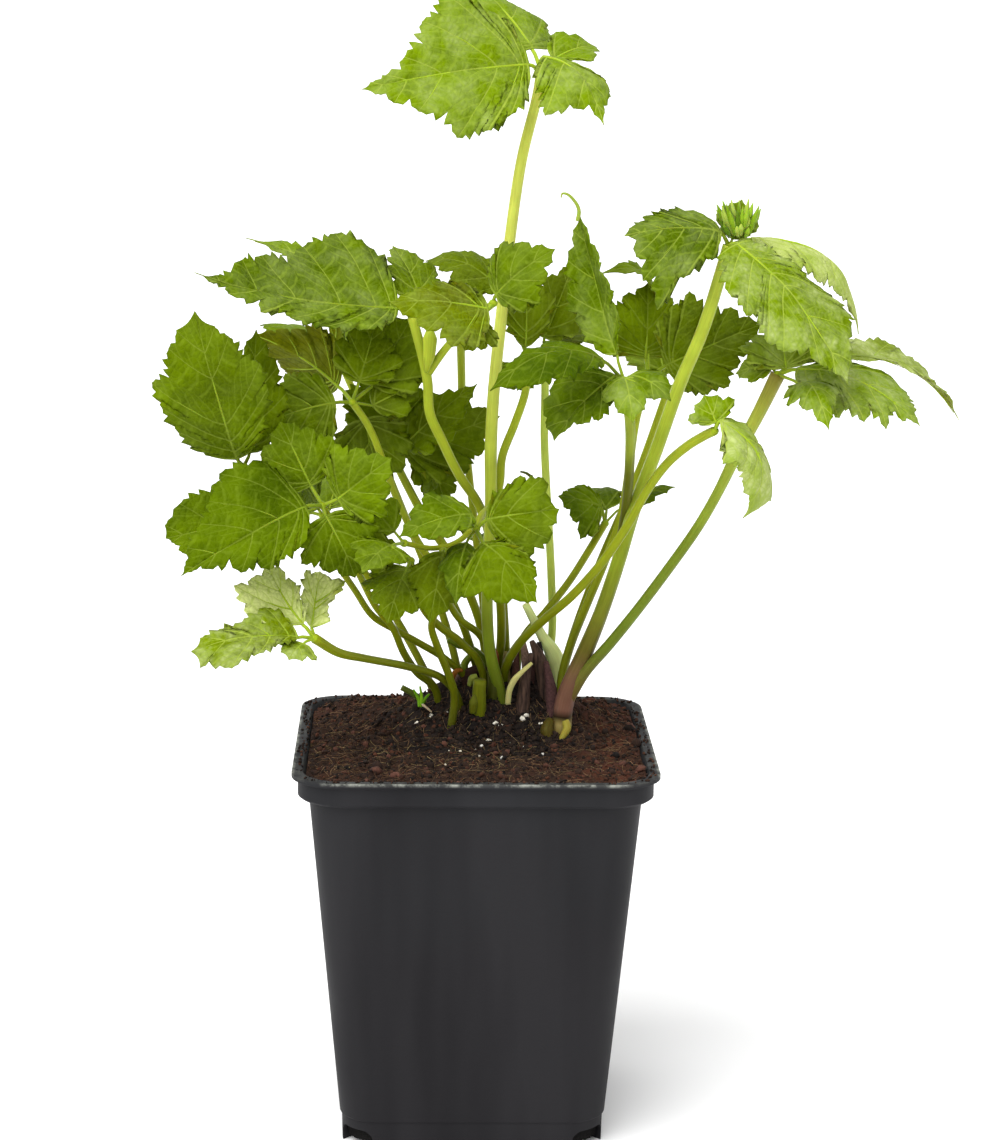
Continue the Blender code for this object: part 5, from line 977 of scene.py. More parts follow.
def stem_material():
    """Juicy stem: smooth and a little waxy, with faint lengthwise streaks."""
    made, tree, shader = new_material(
        "green_stem", Roughness=0.42, Sheen_Weight=0.03, Sheen_Roughness=0.4,
        Specular_IOR_Level=0.22, Specular_Tint=srgb("E4EC9C"), Subsurface_Weight=0.15,
        Subsurface_Scale=MM)
    tint = add(tree, "Attribute", attribute_name="tint")
    flat = add(tree, "Attribute", attribute_name="flat")
    stretch = add(tree, "Mapping", {"Vector": flat, "Scale": (STEM_STREAKS, 0.10, 1.0)})
    streak = speckle(tree, stretch, 1.0, 3.0)
    place = add(tree, "TexCoord").outputs["Object"]
    blotch = speckle(tree, place, grain(7.143), 2.0)
    share = maths(tree, "ADD", remap(tree, streak, 0.3, 0.7, -0.5, 0.5),
                  remap(tree, blotch, 0.3, 0.7, -0.35, 0.35))
    value = maths(tree, "MULTIPLY_ADD", share, 0.30, 1.0)
    colour = add(tree, "HueSaturation", {"Value": value, "Color": tint})
    feed(tree, shader, Base_Color=colour, Normal=relief(tree, 0.3, 0.2, streak))
    return made


def sheath_material():
    """Dried leaf base: fibrous and papery, with streaks from dark to light brown."""
    made, tree, shader = new_material("dry_brown_sheath", Roughness=0.85, Specular_IOR_Level=0.25)
    place = add(tree, "TexCoord").outputs["Object"]
    across = grain(1.111)
    stretch = add(tree, "Mapping", {"Vector": place, "Scale": (across, across, across / 7)})
    fibre = speckle(tree, stretch, 1.0, 5.0, 0.65)
    colour = coated(tree, "1E1310", (remap(tree, fibre, 0.36, 0.64, 0.0, 1.0), "5C463A"))
    feed(tree, shader, Base_Color=colour, Normal=relief(tree, 0.6, 0.4, fibre))
    return made


def compost_material():
    """Damp peat with shredded bark: dark brown, redder at the rear and on the right, and almost
    black where the old root ball stands. Down in the pot it is painted near black as shade."""
    made, tree, shader = new_material("peat_and_bark_compost", Roughness=0.9,
                                      Specular_IOR_Level=0.2)
    place = add(tree, "TexCoord").outputs["Object"]
    across, back, up = add(tree, "SeparateXYZ", [place]).outputs
    grit = speckle(tree, place, grain(1.4286), 6.0, 0.7)
    clump = speckle(tree, place, grain(11.11), 3.0)
    centre = ((MOUND_CENTRE[0] - 4) * MM, (MOUND_CENTRE[1] - 12) * MM, SOIL_TOP * MM)
    away = add(tree, "VectorMath", [place, centre], operation="DISTANCE").outputs["Value"]
    root_ball = remap(tree, away, ROOT_BALL_NEAR * MM, ROOT_BALL_FAR * MM, 1.0, 0.0, smooth=True)
    share = remap(tree, grit, 0.36, 0.66, 0.0, 1.0)
    reddish = maths(tree, "MAXIMUM", remap(tree, back, 22 * MM, 46 * MM, 0.0, 1.0),
                    remap(tree, across, 10 * MM, 45 * MM, 0.1, 0.75))
    clumps = remap(tree, clump, 0.40, 0.62, 0.15, 1.0)
    colour = coated(
        tree, "110B07",
        (share, "392417"),
        (maths(tree, "MULTIPLY", reddish, clumps), "532A19"),
        (root_ball, coated(tree, "0E0A09", (share, "2E2520"))),
        # Painted shade: near black down in the pot, where the foot notches show it
        (remap(tree, up, 40 * MM, 110 * MM, 1.0, 0.0), "0B0908"))
    feed(tree, shader, Base_Color=colour, Normal=relief(tree, 0.9, 0.6, grit))
    return made


def speck_material():
    """Loose bark, fibre and perlite: dull, each bit in its own tint with a grain over it."""
    made, tree, shader = new_material("loose_bark_and_fibre", Roughness=0.9,
                                      Specular_IOR_Level=0.25)
    tint = add(tree, "Attribute", attribute_name="tint")
    place = add(tree, "TexCoord").outputs["Object"]
    value = remap(tree, speckle(tree, place, grain(0.6667), 3.0), 0.3, 0.7, 0.65, 1.35)
    feed(tree, shader, Base_Color=add(tree, "HueSaturation", {"Value": value, "Color": tint}))
    return made


def pot_material():
    """Injection-moulded black polypropylene: satin, with a fine grain, faint flow marks down
    the walls, a film of dust on the collar and a scuffed pale lip."""
    made, tree, shader = new_material("moulded_black_polypropylene", Specular_IOR_Level=0.07)
    place = add(tree, "TexCoord").outputs["Object"]
    across, back, up = add(tree, "SeparateXYZ", [place]).outputs
    wide = grain(16.67)
    tall = add(tree, "Mapping", {"Vector": place, "Scale": (wide, wide, grain(200.0))})
    flow = speckle(tree, tall, 1.0, 2.0)
    cloud = speckle(tree, place, grain(38.46), 4.0)
    scuff = speckle(tree, place, grain(3.846), 5.0, 0.7)
    pores = speckle(tree, place, grain(0.3846), 2.0)
    high = remap(tree, up, POT_HEIGHT / 2 * MM, (POT_HEIGHT - 1) * MM, 0.05, 0.3)
    dust = remap(tree, cloud, 0.35, 0.65, 0.3, 1.0)
    on_top = remap(tree, up, (POT_HEIGHT - 1) * MM, (POT_HEIGHT - 0.1) * MM, 0.0, 1.0)
    reach = maths(tree, "MAXIMUM", maths(tree, "ABSOLUTE", across), maths(tree, "ABSOLUTE", back))
    rim = remap(tree, reach, (LIP_HALF - 1.1) * MM, (LIP_HALF - 0.2) * MM, 0.12, 1.0)
    rubbed = maths(tree, "MULTIPLY", rim, remap(tree, scuff, 0.44, 0.62, 0.1, 1.0))
    colour = coated(
        tree, "1C1B1D",
        (remap(tree, flow, 0.35, 0.65, 0.0, 1.0), "242325"),
        (maths(tree, "MULTIPLY", high, dust), "2C2F31"),
        (maths(tree, "MULTIPLY", on_top, rubbed), "8C8E86"))
    rough = remap(tree, cloud, 0.3, 0.7, 0.5, 0.66)
    feed(tree, shader, Base_Color=colour, Roughness=rough, Normal=relief(tree, 0.12, 0.2, pores))
    return made


# Pot


def ring_corner(z):
    """Radius of the pot's outside corners at height z."""
    return FOOT_CORNER + (LIP_CORNER - FOOT_CORNER) * z / POT_HEIGHT


def wall_half(z):
    """Half the width of the tapered wall's outside at height z."""
    return FOOT_HALF + (WALL_TOP_HALF - FOOT_HALF) * z / (POT_HEIGHT - BAND_HEIGHT)


def shape_ring(mesh, half, corner, z):
    """Sets the selected ring of corners to a rounded square at height z."""
    shape = bmesh.from_edit_mesh(mesh)
    ring = [v for v in shape.verts if v.select]
    was_half = max(v.co.x for v in ring) / MM
    flat_edge = sorted(abs(v.co.x) for v in ring if v.co.y / MM > was_half - 0.01)
    was_corner = was_half - flat_edge[-1] / MM
    for v in ring:
        for axis in (0, 1):
            reach = abs(v.co[axis]) / MM - (was_half - was_corner)
            size = half - corner + reach * corner / was_corner
            v.co[axis] = math.copysign(size * MM, v.co[axis])
        v.co.z = z * MM
    bmesh.update_edit_mesh(mesh)


def make_cutter(name):
    """The object just added, hidden from the render, for a Boolean."""
    cutter = bpy.context.object
    cutter.name = name
    cutter.hide_render = True
    return cutter


def make_pot(finish):
    """The pot, raised ring by ring from its foot and turned in at the lip."""
    band_low = POT_HEIGHT - BAND_HEIGHT
    step = FOOT_STEP_HEIGHT
    bpy.ops.object.select_all(action="DESELECT")
    bpy.ops.mesh.primitive_cube_add(size=1.0, location=(0.0, 0.0, step / 2 * MM))
    pot = bpy.context.object
    pot.name = "nursery_pot"
    pot.data.name = "nursery_pot"
    pot.scale = (2 * FOOT_HALF * MM, 2 * FOOT_HALF * MM, step * MM)
    bpy.ops.object.transform_apply(location=True, rotation=False, scale=True)
    bpy.ops.object.mode_set(mode="EDIT")
    bpy.ops.mesh.select_all(action="DESELECT")
    shape = bmesh.from_edit_mesh(pot.data)
    bpy.context.tool_settings.mesh_select_mode = (False, True, False)
    for edge in shape.edges:
        edge.select = abs(edge.verts[0].co.z - edge.verts[1].co.z) > MM
    bmesh.update_edit_mesh(pot.data)
    bpy.ops.mesh.bevel(offset=FOOT_CORNER * MM, segments=CORNER_SIDES)
    bpy.context.tool_settings.mesh_select_mode = (False, False, True)
    bpy.ops.mesh.select_all(action="DESELECT")
    shape = bmesh.from_edit_mesh(pot.data)
    for face in shape.faces:
        face.select = face.normal.z > 0.9
    bmesh.update_edit_mesh(pot.data)
    shape_ring(pot.data, wall_half(step) - FOOT_STEP, ring_corner(step), step)
    inner_half = wall_half(FLOOR_THICK) - WALL_THICK - FOOT_STEP
    rings = [
        (wall_half(step), ring_corner(step), step + FOOT_STEP),
        (WALL_TOP_HALF, ring_corner(band_low), band_low),
        (BAND_HALF - EDGE_BREAK, LIP_CORNER, band_low),
        (BAND_HALF, LIP_CORNER, band_low + EDGE_BREAK),
        (BAND_HALF, LIP_CORNER, POT_HEIGHT - LIP_THICK - EDGE_BREAK),
        (LIP_HALF, LIP_CORNER, POT_HEIGHT - LIP_THICK),
        (LIP_HALF, LIP_CORNER, POT_HEIGHT),
        (BAND_HALF - WALL_THICK, LIP_CORNER - WALL_THICK, POT_HEIGHT),
        (WALL_TOP_HALF - WALL_THICK, ring_corner(band_low) - WALL_THICK, band_low + EDGE_BREAK),
        (inner_half, FOOT_CORNER - WALL_THICK, FLOOR_THICK),
    ]
    for half, corner, z in rings:
        bpy.ops.mesh.extrude_region_move()
        shape_ring(pot.data, half, corner, z)
    bpy.ops.object.mode_set(mode="OBJECT")
    cutters = []
    for x, y in ((-1, -1), (1, -1), (-1, 1), (1, 1)):
        place = (DRAIN_REACH * x * MM, DRAIN_REACH * y * MM, FLOOR_THICK / 2 * MM)
        bpy.ops.mesh.primitive_cylinder_add(vertices=DRAIN_SIDES, radius=DRAIN_RADIUS * MM,
                                            depth=3 * FLOOR_THICK * MM, location=place)
        cutters.append(make_cutter("drain_hole"))
        turn = math.atan2(y, x)
        reach = NOTCH_REACH * MM
        bpy.ops.mesh.primitive_cube_add(size=1.0)
        notch = make_cutter("foot_notch")
        notch.scale = (NOTCH_LENGTH * MM, NOTCH_WIDTH * MM, 2 * NOTCH_HEIGHT * MM)
        bpy.ops.object.transform_apply(location=False, rotation=False, scale=True)
        bevel = notch.modifiers.new("round", "BEVEL")
        bevel.width = NOTCH_ROUND * MM
        bevel.segments = NOTCH_ROUND_SIDES
        notch.rotation_euler = (0.0, 0.0, turn)
        notch.location = (reach * math.cos(turn), reach * math.sin(turn), 0.0)
        cutters.append(notch)
    for cutter in cutters:
        bpy.ops.object.select_all(action="DESELECT")
        bpy.context.view_layer.objects.active = pot
        cut = pot.modifiers.new("cut", "BOOLEAN")
        cut.object = cutter
        bpy.ops.object.modifier_apply(modifier=cut.name)
        bpy.data.objects.remove(cutter)
    bpy.context.view_layer.objects.active = pot
    pot.select_set(True)
    rounding = pot.modifiers.new("edges", "BEVEL")
    rounding.width = EDGE_ROUND * MM
    rounding.segments = EDGE_ROUND_SIDES
    rounding.angle_limit = math.radians(SHARP_ANGLE)
    bpy.ops.object.modifier_apply(modifier=rounding.name)
    bpy.ops.object.shade_smooth_by_angle(angle=math.radians(SMOOTH_ANGLE))
    pot.data.materials.clear()
    pot.data.materials.append(finish)
    return settle_piece(pot, ["pot"])


# Compost


def inside_pot(x, y, margin=0.0):
    """True where (x, y) lies inside the pot's wall at the compost's level, less a margin."""
    half = BAND_HALF - WALL_THICK - CLEARANCE - margin
    corner = LIP_CORNER - WALL_THICK
    dx, dy = abs(x) - (half - corner), abs(y) - (half - corner)
    if dx <= 0 or dy <= 0:
        return max(abs(x), abs(y)) <= half
    return dx * dx + dy * dy <= corner * corner


def soil_level(x, y):
    """Height of the compost at (x, y): lumps of a few sizes on the root ball's mound and on
    the low heap along the back."""
    dx = (x - MOUND_CENTRE[0]) / MOUND_SPREAD[0]
    dy = (y - MOUND_CENTRE[1]) / MOUND_SPREAD[1]
    mound = MOUND_HEIGHT / (1 + (dx * dx + dy * dy) ** 2)
    heap = HEAP_HEIGHT / (1 + math.exp((HEAP_START - y) / HEAP_SLOPE))
    heap *= max(0.0, 1 - (x / HEAP_REACH[0]) ** 4) * max(0.0, 1 - (y / HEAP_REACH[1]) ** 8)
    level = SOIL_TOP + 0.2 + mound + heap
    for height, width, layer in SOIL_LUMPS:
        level += height * noise.noise(Vector((x / width, y / width, layer)))
    edge = max(abs(x), abs(y)) / (BAND_HALF - WALL_THICK)
    return level - SOIL_EDGE_DROP * edge**6


def make_compost(finish):
    """The block of compost: a fine lumpy top on a body that fills the pot."""
    half = BAND_HALF - WALL_THICK - CLEARANCE
    bpy.ops.object.select_all(action="DESELECT")
    bpy.ops.mesh.primitive_grid_add(x_subdivisions=SOIL_CELLS, y_subdivisions=SOIL_CELLS,
                                    size=2 * half * MM)
    soil = bpy.context.object
    soil.name = "compost_block"
    soil.data.name = "compost_block"
    shape = bmesh.new()
    shape.from_mesh(soil.data)
    outside = [v for v in shape.verts if not inside_pot(v.co.x / MM, v.co.y / MM)]
    bmesh.ops.delete(shape, geom=outside, context="VERTS")
    for v in shape.verts:
        v.co.z = soil_level(v.co.x / MM, v.co.y / MM) * MM
    shape.to_mesh(soil.data)
    shape.free()
    bpy.ops.object.mode_set(mode="EDIT")
    bpy.context.tool_settings.mesh_select_mode = (True, False, False)
    bpy.ops.mesh.select_all(action="DESELECT")
    bpy.ops.mesh.select_non_manifold()
    band_low = POT_HEIGHT - BAND_HEIGHT + EDGE_BREAK
    low_half = wall_half(FLOOR_THICK) - WALL_THICK - CLEARANCE - FOOT_STEP
    high_half = WALL_TOP_HALF - WALL_THICK - CLEARANCE
    for z, size in ((band_low, high_half), (FLOOR_THICK + CLEARANCE, low_half)):
        bpy.ops.mesh.extrude_region_move()
        edit = bmesh.from_edit_mesh(soil.data)
        ring = [v for v in edit.verts if v.select]
        reach = max(abs(v.co.x) for v in ring)
        for v in ring:
            v.co.x *= size * MM / reach
            v.co.y *= size * MM / reach
            v.co.z = z * MM
        bmesh.update_edit_mesh(soil.data)
    bpy.ops.mesh.edge_face_add()
    bpy.ops.mesh.select_all(action="SELECT")
    bpy.ops.mesh.normals_make_consistent(inside=False)
    bpy.ops.object.mode_set(mode="OBJECT")
    bpy.ops.object.shade_smooth_by_angle(angle=math.radians(SOIL_SMOOTH_ANGLE))
    soil.data.materials.append(finish)
    return settle_piece(soil, ["compost"])


def bit_shape():
    """The points and faces of one small lump, modelled once for all the loose bits."""
    bpy.ops.mesh.primitive_ico_sphere_add(subdivisions=1, radius=1.0)
    lump = bpy.context.object
    points = np.array([v.co for v in lump.data.vertices])
    faces = [tuple(face.vertices) for face in lump.data.polygons]
    bpy.data.objects.remove(lump)
    return points, faces


def spots_on_soil(random, count, centre, spread):
    """Random places (x, y) inside the pot: all over it, or spread round a centre."""
    spots = []
    while len(spots) < count:
        if centre is None:
            x, y = random.uniform(-SOIL_REACH, SOIL_REACH, 2)
        else:
            x, y = random.normal(centre, spread)
        if inside_pot(x, y, SPOT_MARGIN):
            spots.append((x, y))
    return spots


def spots_on_lip(random, count):
    """Random places on the flat top of the lip, beyond the compost."""
    spots = []
    while len(spots) < count:
        x, y = random.uniform(-LIP_HALF, LIP_HALF, 2)
        if inside_pot(x, y, BAND_HALF - LIP_HALF - 0.6) and not inside_pot(x, y):
            spots.append((x, y))
    return spots


def on_soil(x, z):
    """The place on the compost that the photo shows at (x, z)."""
    y = -SOIL_REACH
    place = seen(x, z, y)
    while y < SOIL_REACH and place[2] > soil_level(place[0], place[1]):
        y += SEARCH_STEP
        place = seen(x, z, y)
    return place


def random_tint(random, colours, dim, bright):
    """One of the colours, made a little darker or lighter."""
    tint = np.array(srgb(colours[random.randint(len(colours))]))
    tint[:3] *= random.uniform(dim, bright)
    return tint


def lumps(name, lump, spots, finish, sizes, squash, sunk, colours):
    """Loose bits on the compost: copies of the lump, each turned, dented and coloured."""
    random = seeded(name)
    points, faces = lump
    parts = []
    for x, y in spots:
        size = random.uniform(*sizes)
        scale = size * random.uniform(squash, 1.0, 3)
        turn = Matrix.Rotation(random.uniform(0, math.tau), 3, random.normal(size=3))
        dents = random.uniform(*LUMP_DENTS, (len(points), 1))
        skin = (points * dents * scale) @ np.array(turn).T
        ground = soil_level(x, y) if inside_pot(x, y) else POT_HEIGHT
        level = ground + size * (0.5 - sunk)
        skin = skin + np.array((x, y, level))
        tint = random_tint(random, colours, *LUMP_LIGHT)
        parts.append((skin, faces, 0, {"tint": np.tile(tint, (len(skin), 1))}))
    return build_piece(name, parts, [finish])


def fibres(name, spots, finish, lengths, radius, stand, colours):
    """Thin curved fibres that lie in the compost, some with an end that stands up."""
    random = seeded(name)
    parts = []
    for x, y in spots:
        length = random.uniform(*lengths)
        heading = random.uniform(0, math.tau)
        curl = random.uniform(-FIBRE_CURL, FIBRE_CURL)
        rise = random.uniform(0.0, 1.0) ** 4 * length * stand
        line = []
        here = np.array((x, y))
        for k in range(FIBRE_STEPS + 1):
            level = soil_level(*here) + 0.15 + rise * (k / FIBRE_STEPS) ** 2
            line.append((*here, level - (0.5 if k == 0 else 0.0)))
            heading += curl / FIBRE_STEPS + random.normal(0, 0.15)
            step = length / FIBRE_STEPS * np.array((math.cos(heading), math.sin(heading)))
            here = here + step
            if not inside_pot(*here, FIBRE_MARGIN):
                here = here - 2 * step
        radii = (radius * random.uniform(0.7, 1.3), radius * 0.4)
        tint = random_tint(random, colours, *FIBRE_LIGHT)
        parts.append(strand(line, radii, FIBRE_SIDES, tint))
    return build_piece(name, parts, [finish])


# Stems


def stem_colours(name, points):
    """Colours up a stem, as its stops say, at its points."""
    stops = STOPS.get(name, PLAIN_STOPS)
    heights = [height for height, _ in stops]
    shades = np.array([srgb(shade) for _, shade in stops])
    columns = [np.interp(points[:, 2], heights, shades[:, k]) for k in range(4)]
    return np.stack(columns, 1)


def make_stem(name, points, radii, finish):
    """A stem: round and a little ribbed, as thick from foot to top as its radii say."""
    line = seen_line(points)
    skin, faces, flat = tube(line, tapered(radii, len(line)), STEM_SIDES)
    centres = np.repeat(np.array(line), STEM_SIDES, 0)
    ribs = 1 + STEM_RIB_HEIGHT * np.cos(STEM_RIBS * math.tau * flat[:, 0:1])
    skin = centres + (skin - centres) * ribs
    tints = stem_colours(name, skin)
    return build_piece(name + "_fine", [(skin, faces, 0, {"tint": tints, "flat": flat})], [finish],
                       [name])


# Leaves


def midrib(leaf, share):
    """Points, sides and normals of the midrib at an array of shares of its length."""
    base, tip = np.array(leaf["base"]), np.array(leaf["tip"])
    chord = tip - base
    length = np.linalg.norm(chord)
    ahead = chord / length
    face = np.array(leaf["face"])
    level = face - face.dot(ahead) * ahead
    level /= np.linalg.norm(level)
    across = np.cross(ahead, level)

    def at(s):
        bow = 4 * s * (1 - s)
        droop = np.maximum(0.0, s - DROOP_START) / (1 - DROOP_START)
        lift = leaf["arch"] * bow - leaf["hook"] * droop * droop
        bowed = across * (leaf["sweep"] * bow)[:, None]
        return base + chord * s[:, None] + level * lift[:, None] + bowed

    inside = np.clip(share, 0.0, 1.0)
    step = 0.02
    tangent = at(np.minimum(inside + step, 1.0)) - at(np.maximum(inside - step, 0.0))
    tangent /= np.linalg.norm(tangent, axis=1, keepdims=True)
    normal = level - tangent * (tangent @ level)[:, None]
    normal /= np.linalg.norm(normal, axis=1, keepdims=True)
    points = at(inside) + tangent * ((share - inside) * length)[:, None]
    return points, np.cross(tangent, normal), normal


def blade_points(leaf, along, across, out, relief):
    """Where the blade passes at shares along and across, raised by the relief in mm."""
    points, side, normal = midrib(leaf, along)
    half = half_width(leaf, out)
    angle = leaf["fold"] - leaf["roll"] * across / 2
    wave = np.sin(math.tau * (WAVES * along + 0.35 * out + leaf["phase"])) * across**1.5
    reach = across * half
    lift = reach * np.sin(angle) + WAVE * half * wave + relief
    return points + side * (out * reach * np.cos(angle))[:, None] + normal * lift[:, None]


def half_width(leaf, out):
    """Width in mm of the half of the blade on the side out."""
    return leaf["half"] * (1 + leaf["skew"] * out)


def half_outline(leaf, out):
    """The points of a leaflet's outline from base to tip, as (along, across) on the side out."""
    points = [entry[:2] if out > 0 else entry[-2:] for entry in OUTLINES[leaf["shape"]]]
    return [(0.0, 0.0), *((along / 100, across / 100) for along, across in points), (1.0, 0.0)]


def vein_roots(leaf, length):
    """Where each row of the blade leaves the midrib, in shares of its length, so that the
    veins lean forward: steeply near the base and more and more towards the tip."""
    coarse = (np.array(half_outline(leaf, 1)) + np.array(half_outline(leaf, -1))) / 2
    last = len(coarse) - 1
    starts = [0.0]
    for k in range(1, last):
        a, b = coarse[k]
        lean = math.radians(VEIN_LEAN_BASE + (VEIN_LEAN_TIP - VEIN_LEAN_BASE) * a)
        starts.append(a - b * leaf["half"] / (length * math.tan(lean)))
    starts.append(1.0)
    for k in range(1, last + 1):
        starts[k] = max(starts[k], starts[k - 1] + ROW_GAP)
    starts = np.array(starts) / starts[-1]
    return lambda rank: np.interp(rank, range(last + 1), starts)


def edge_marks(k, teeth, last):
    """Shares along one span of the outline and how far its small teeth stand out there. The
    teeth of a lobe's lower flank and of its upper flank both point to the lobe's own tip."""
    if k >= last - 1:
        return [(i / 6, 0.0) for i in range(6)]
    marks = []
    for i in range(teeth):
        crest = i < teeth - 1
        middle, middle_height, top, top_height = CREST_TOOTH if crest else LAST_TOOTH
        marks += [(i / teeth, 0.0), ((i + middle) / teeth, middle_height)]
        marks += [((i + top) / teeth, top_height)]
    if k % 2:
        marks = [(0.0, 0.0)] + [(1 - s, h) for s, h in marks[:0:-1]]
    return marks


def fine_edge(leaf, length):
    """The ranks of the blade's rows, then for each side the toothed and the plain outline."""
    last = len(half_outline(leaf, 1)) - 1
    roots = vein_roots(leaf, length)
    sides = []
    for out in (1, -1):
        half = half_width(leaf, out)
        edge = []
        for i, (a, b) in enumerate(half_outline(leaf, out)):
            uneven = 1 + UNEVEN * math.sin(5.1 * i + 2.3 * out + 31 * leaf["phase"])
            point = np.array((a * length, b * uneven * half))
            if i % 2 and i < last:
                vein = point - (roots(i) * length, 0.0)
                reach = min(1.0, b * half / WIDE_HALF)
                point = point + vein / np.linalg.norm(vein) * LOBE_POINT * reach
            edge.append(point)
        sides.append(np.array(edge))
    ranks, rims = [], [[], []]
    for k in range(last):
        spans = [side[k + 1] - side[k] for side in sides]
        size = np.mean([np.linalg.norm(span) for span in spans])
        teeth = int(np.clip(round(size / TOOTH_PITCH), 1, MOST_TEETH)) if k > 0 else 1
        height = TOOTH_HEIGHT * size / teeth if k > 0 else 0.0
        bow = LOBE_BULGE if k < last - 2 else -TIP_HOLLOW
        for s, h in edge_marks(k, teeth, last):
            ranks.append(k + s)
            for rim, side, span in zip(rims, sides, spans):
                out = np.array((-span[1], span[0])) / max(np.linalg.norm(span), 1e-6)
                bulge = bow * size * math.sin(math.pi * s)
                rim.append(side[k] + span * s + out * (h * height + bulge))
    ranks.append(float(last))
    plain = []
    for rim, side in zip(rims, sides):
        rim.append(side[-1])
        plain.append(np.stack([np.interp(ranks, range(last + 1), side[:, i]) for i in (0, 1)], 1))
    return np.array(ranks), [np.array(rim) for rim in rims], plain, roots


def spread(start, rim, shares):
    """Rows from the midrib out to the rim, in flat mm, each bending a little forward."""
    bent = shares**VEIN_BEND
    x = start[:, None] + (rim[:, 0] - start)[:, None] * bent[None, :]
    return x, np.maximum(rim[:, 1], 0.0)[:, None] * shares[None, :]


def row_pitch(x, y, ranks):
    """Millimetres from row to row for one step of rank, square to the rows."""
    turn_x, turn_y = np.gradient(x, axis=1), np.gradient(y, axis=1)
    size = np.maximum(np.hypot(turn_x, turn_y), 1e-6)
    step_x, step_y = np.gradient(x, ranks, axis=0), np.gradient(y, ranks, axis=0)
    return np.abs(turn_x * step_y - turn_y * step_x) / size


def fine_blade(leaf, tone, columns):
    """A closed thin blade: rows from the midrib out to each point of the toothed edge. Its
    lateral veins lie on the rows of odd rank, sunk between quilted pads."""
    length = (leaf["tip"] - leaf["base"]).length
    ranks, rims, plain, roots = fine_edge(leaf, length)
    phase = leaf["phase"]
    shares = np.linspace(0, 1, columns + 1)
    rows = len(ranks)
    start = roots(ranks) * length
    off_vein = np.abs(ranks % 2 - 1)[:, None]
    ends = np.minimum(1.0, np.minimum(ranks / 1.5, (ranks[-1] - ranks) / 2))[:, None]
    halves = []
    for out, rim, smooth in zip((1, -1), rims, plain):
        half = half_width(leaf, out)
        x, y = spread(start, rim, shares)
        pitch = row_pitch(*spread(start, smooth, shares), ranks)
        gap = off_vein * pitch
        reach = np.hypot(x - start[:, None], y)
        pad = np.sin(math.pi / 2 * np.minimum(1.0, off_vein * 1.15)) ** 1.4
        swell = QUILT * 2 * pitch * pad * (1 - 0.75 * shares**4)[None, :] * (shares**0.5)[None, :]
        ripple = np.sin(reach * 1.25 + gap * 0.9 + 2 * out)
        puff = PUFF_HEIGHT * ripple * pad * np.minimum(1, reach / 5)
        groove = GROOVE_DEPTH * np.exp(-((gap / GROOVE_WIDTH) ** 2)) * np.minimum(1, reach / 4)
        gutter = GUTTER_DEPTH * np.exp(-((y / GUTTER_WIDTH) ** 2))
        swing = np.sin(x * 0.23 + 9 * phase) * np.sin(y * 0.27 + out + 5 * phase) * SWING_HEIGHT
        frill = FRILL_HEIGHT * (shares**5)[None, :] * np.sin(2.7 * ranks + 4 * phase + out)[:, None]
        relief = (swell + puff - groove + swing + frill - gutter) * ends
        shape = blade_points(leaf, (x / length).ravel(), (y / half).ravel(), out, relief.ravel())
        edge_share = np.broadcast_to(shares, x.shape)
        flats = np.stack([x, out * y, edge_share, np.ones_like(x)], 2)
        places = np.stack([np.broadcast_to(ranks[:, None], x.shape), reach, pitch, x / length], 2)
        halves.append((shape.reshape(rows, columns + 1, 3), flats, places))
    right, left = halves
    grid, flats, places = (np.concatenate([left[i][:, :0:-1], right[i]], 1) for i in range(3))
    return close_blade(grid, flats, places, tone)


def close_blade(grid, flats, places, tone):
    """Thickens a grid of blade points to a closed shell whose first and last rows are points."""
    rows, wide = grid.shape[:2]
    index = np.arange(rows * wide).reshape(rows, wide)
    middle = wide // 2
    index[0, :] = index[0, middle]
    index[-1, :] = index[-1, middle]
    around = [index[:-1, :-1], index[:-1, 1:], index[1:, 1:], index[1:, :-1]]
    quads = np.stack(around, 2).reshape(-1, 4)
    points = grid.reshape(-1, 3)
    corners = points[quads]
    flow = np.cross(corners[:, 2] - corners[:, 0], corners[:, 3] - corners[:, 1])
    normals = np.zeros_like(points)
    for k in range(4):
        np.add.at(normals, quads[:, k], flow)
    normals /= np.maximum(np.linalg.norm(normals, axis=1, keepdims=True), 1e-9)
    used = np.unique(quads)
    renumber = np.full(len(points), -1)
    renumber[used] = np.arange(len(used))
    total = len(used)
    lift = normals[used] * BLADE_THICK / 2
    skin = np.concatenate([points[used] + lift, points[used] - lift])
    faces, finish = [], []
    for quad in renumber[quads]:
        face = [int(v) for v in dict.fromkeys(quad)]
        if len(face) > 2:
            faces.append(face)
            faces.append([v + total for v in face[::-1]])
            finish += [0, 1]
    for column, turn in ((0, 1), (-1, -1)):
        rim = [int(renumber[i]) for i in index[:, column]]
        for a, b in zip(rim, rim[1:]):
            quad = [a, a + total, b + total, b]
            faces.append(quad if turn < 0 else quad[::-1])
            finish.append(0)
    flats = flats.reshape(-1, 4)[used]
    places = places.reshape(-1, 4)[used]
    tones = np.tile((*tone, 1.0), (2 * total, 1))
    held = {"flat": np.tile(flats, (2, 1)), "rank": np.tile(places, (2, 1)), "tone": tones}
    return skin, faces, finish, held


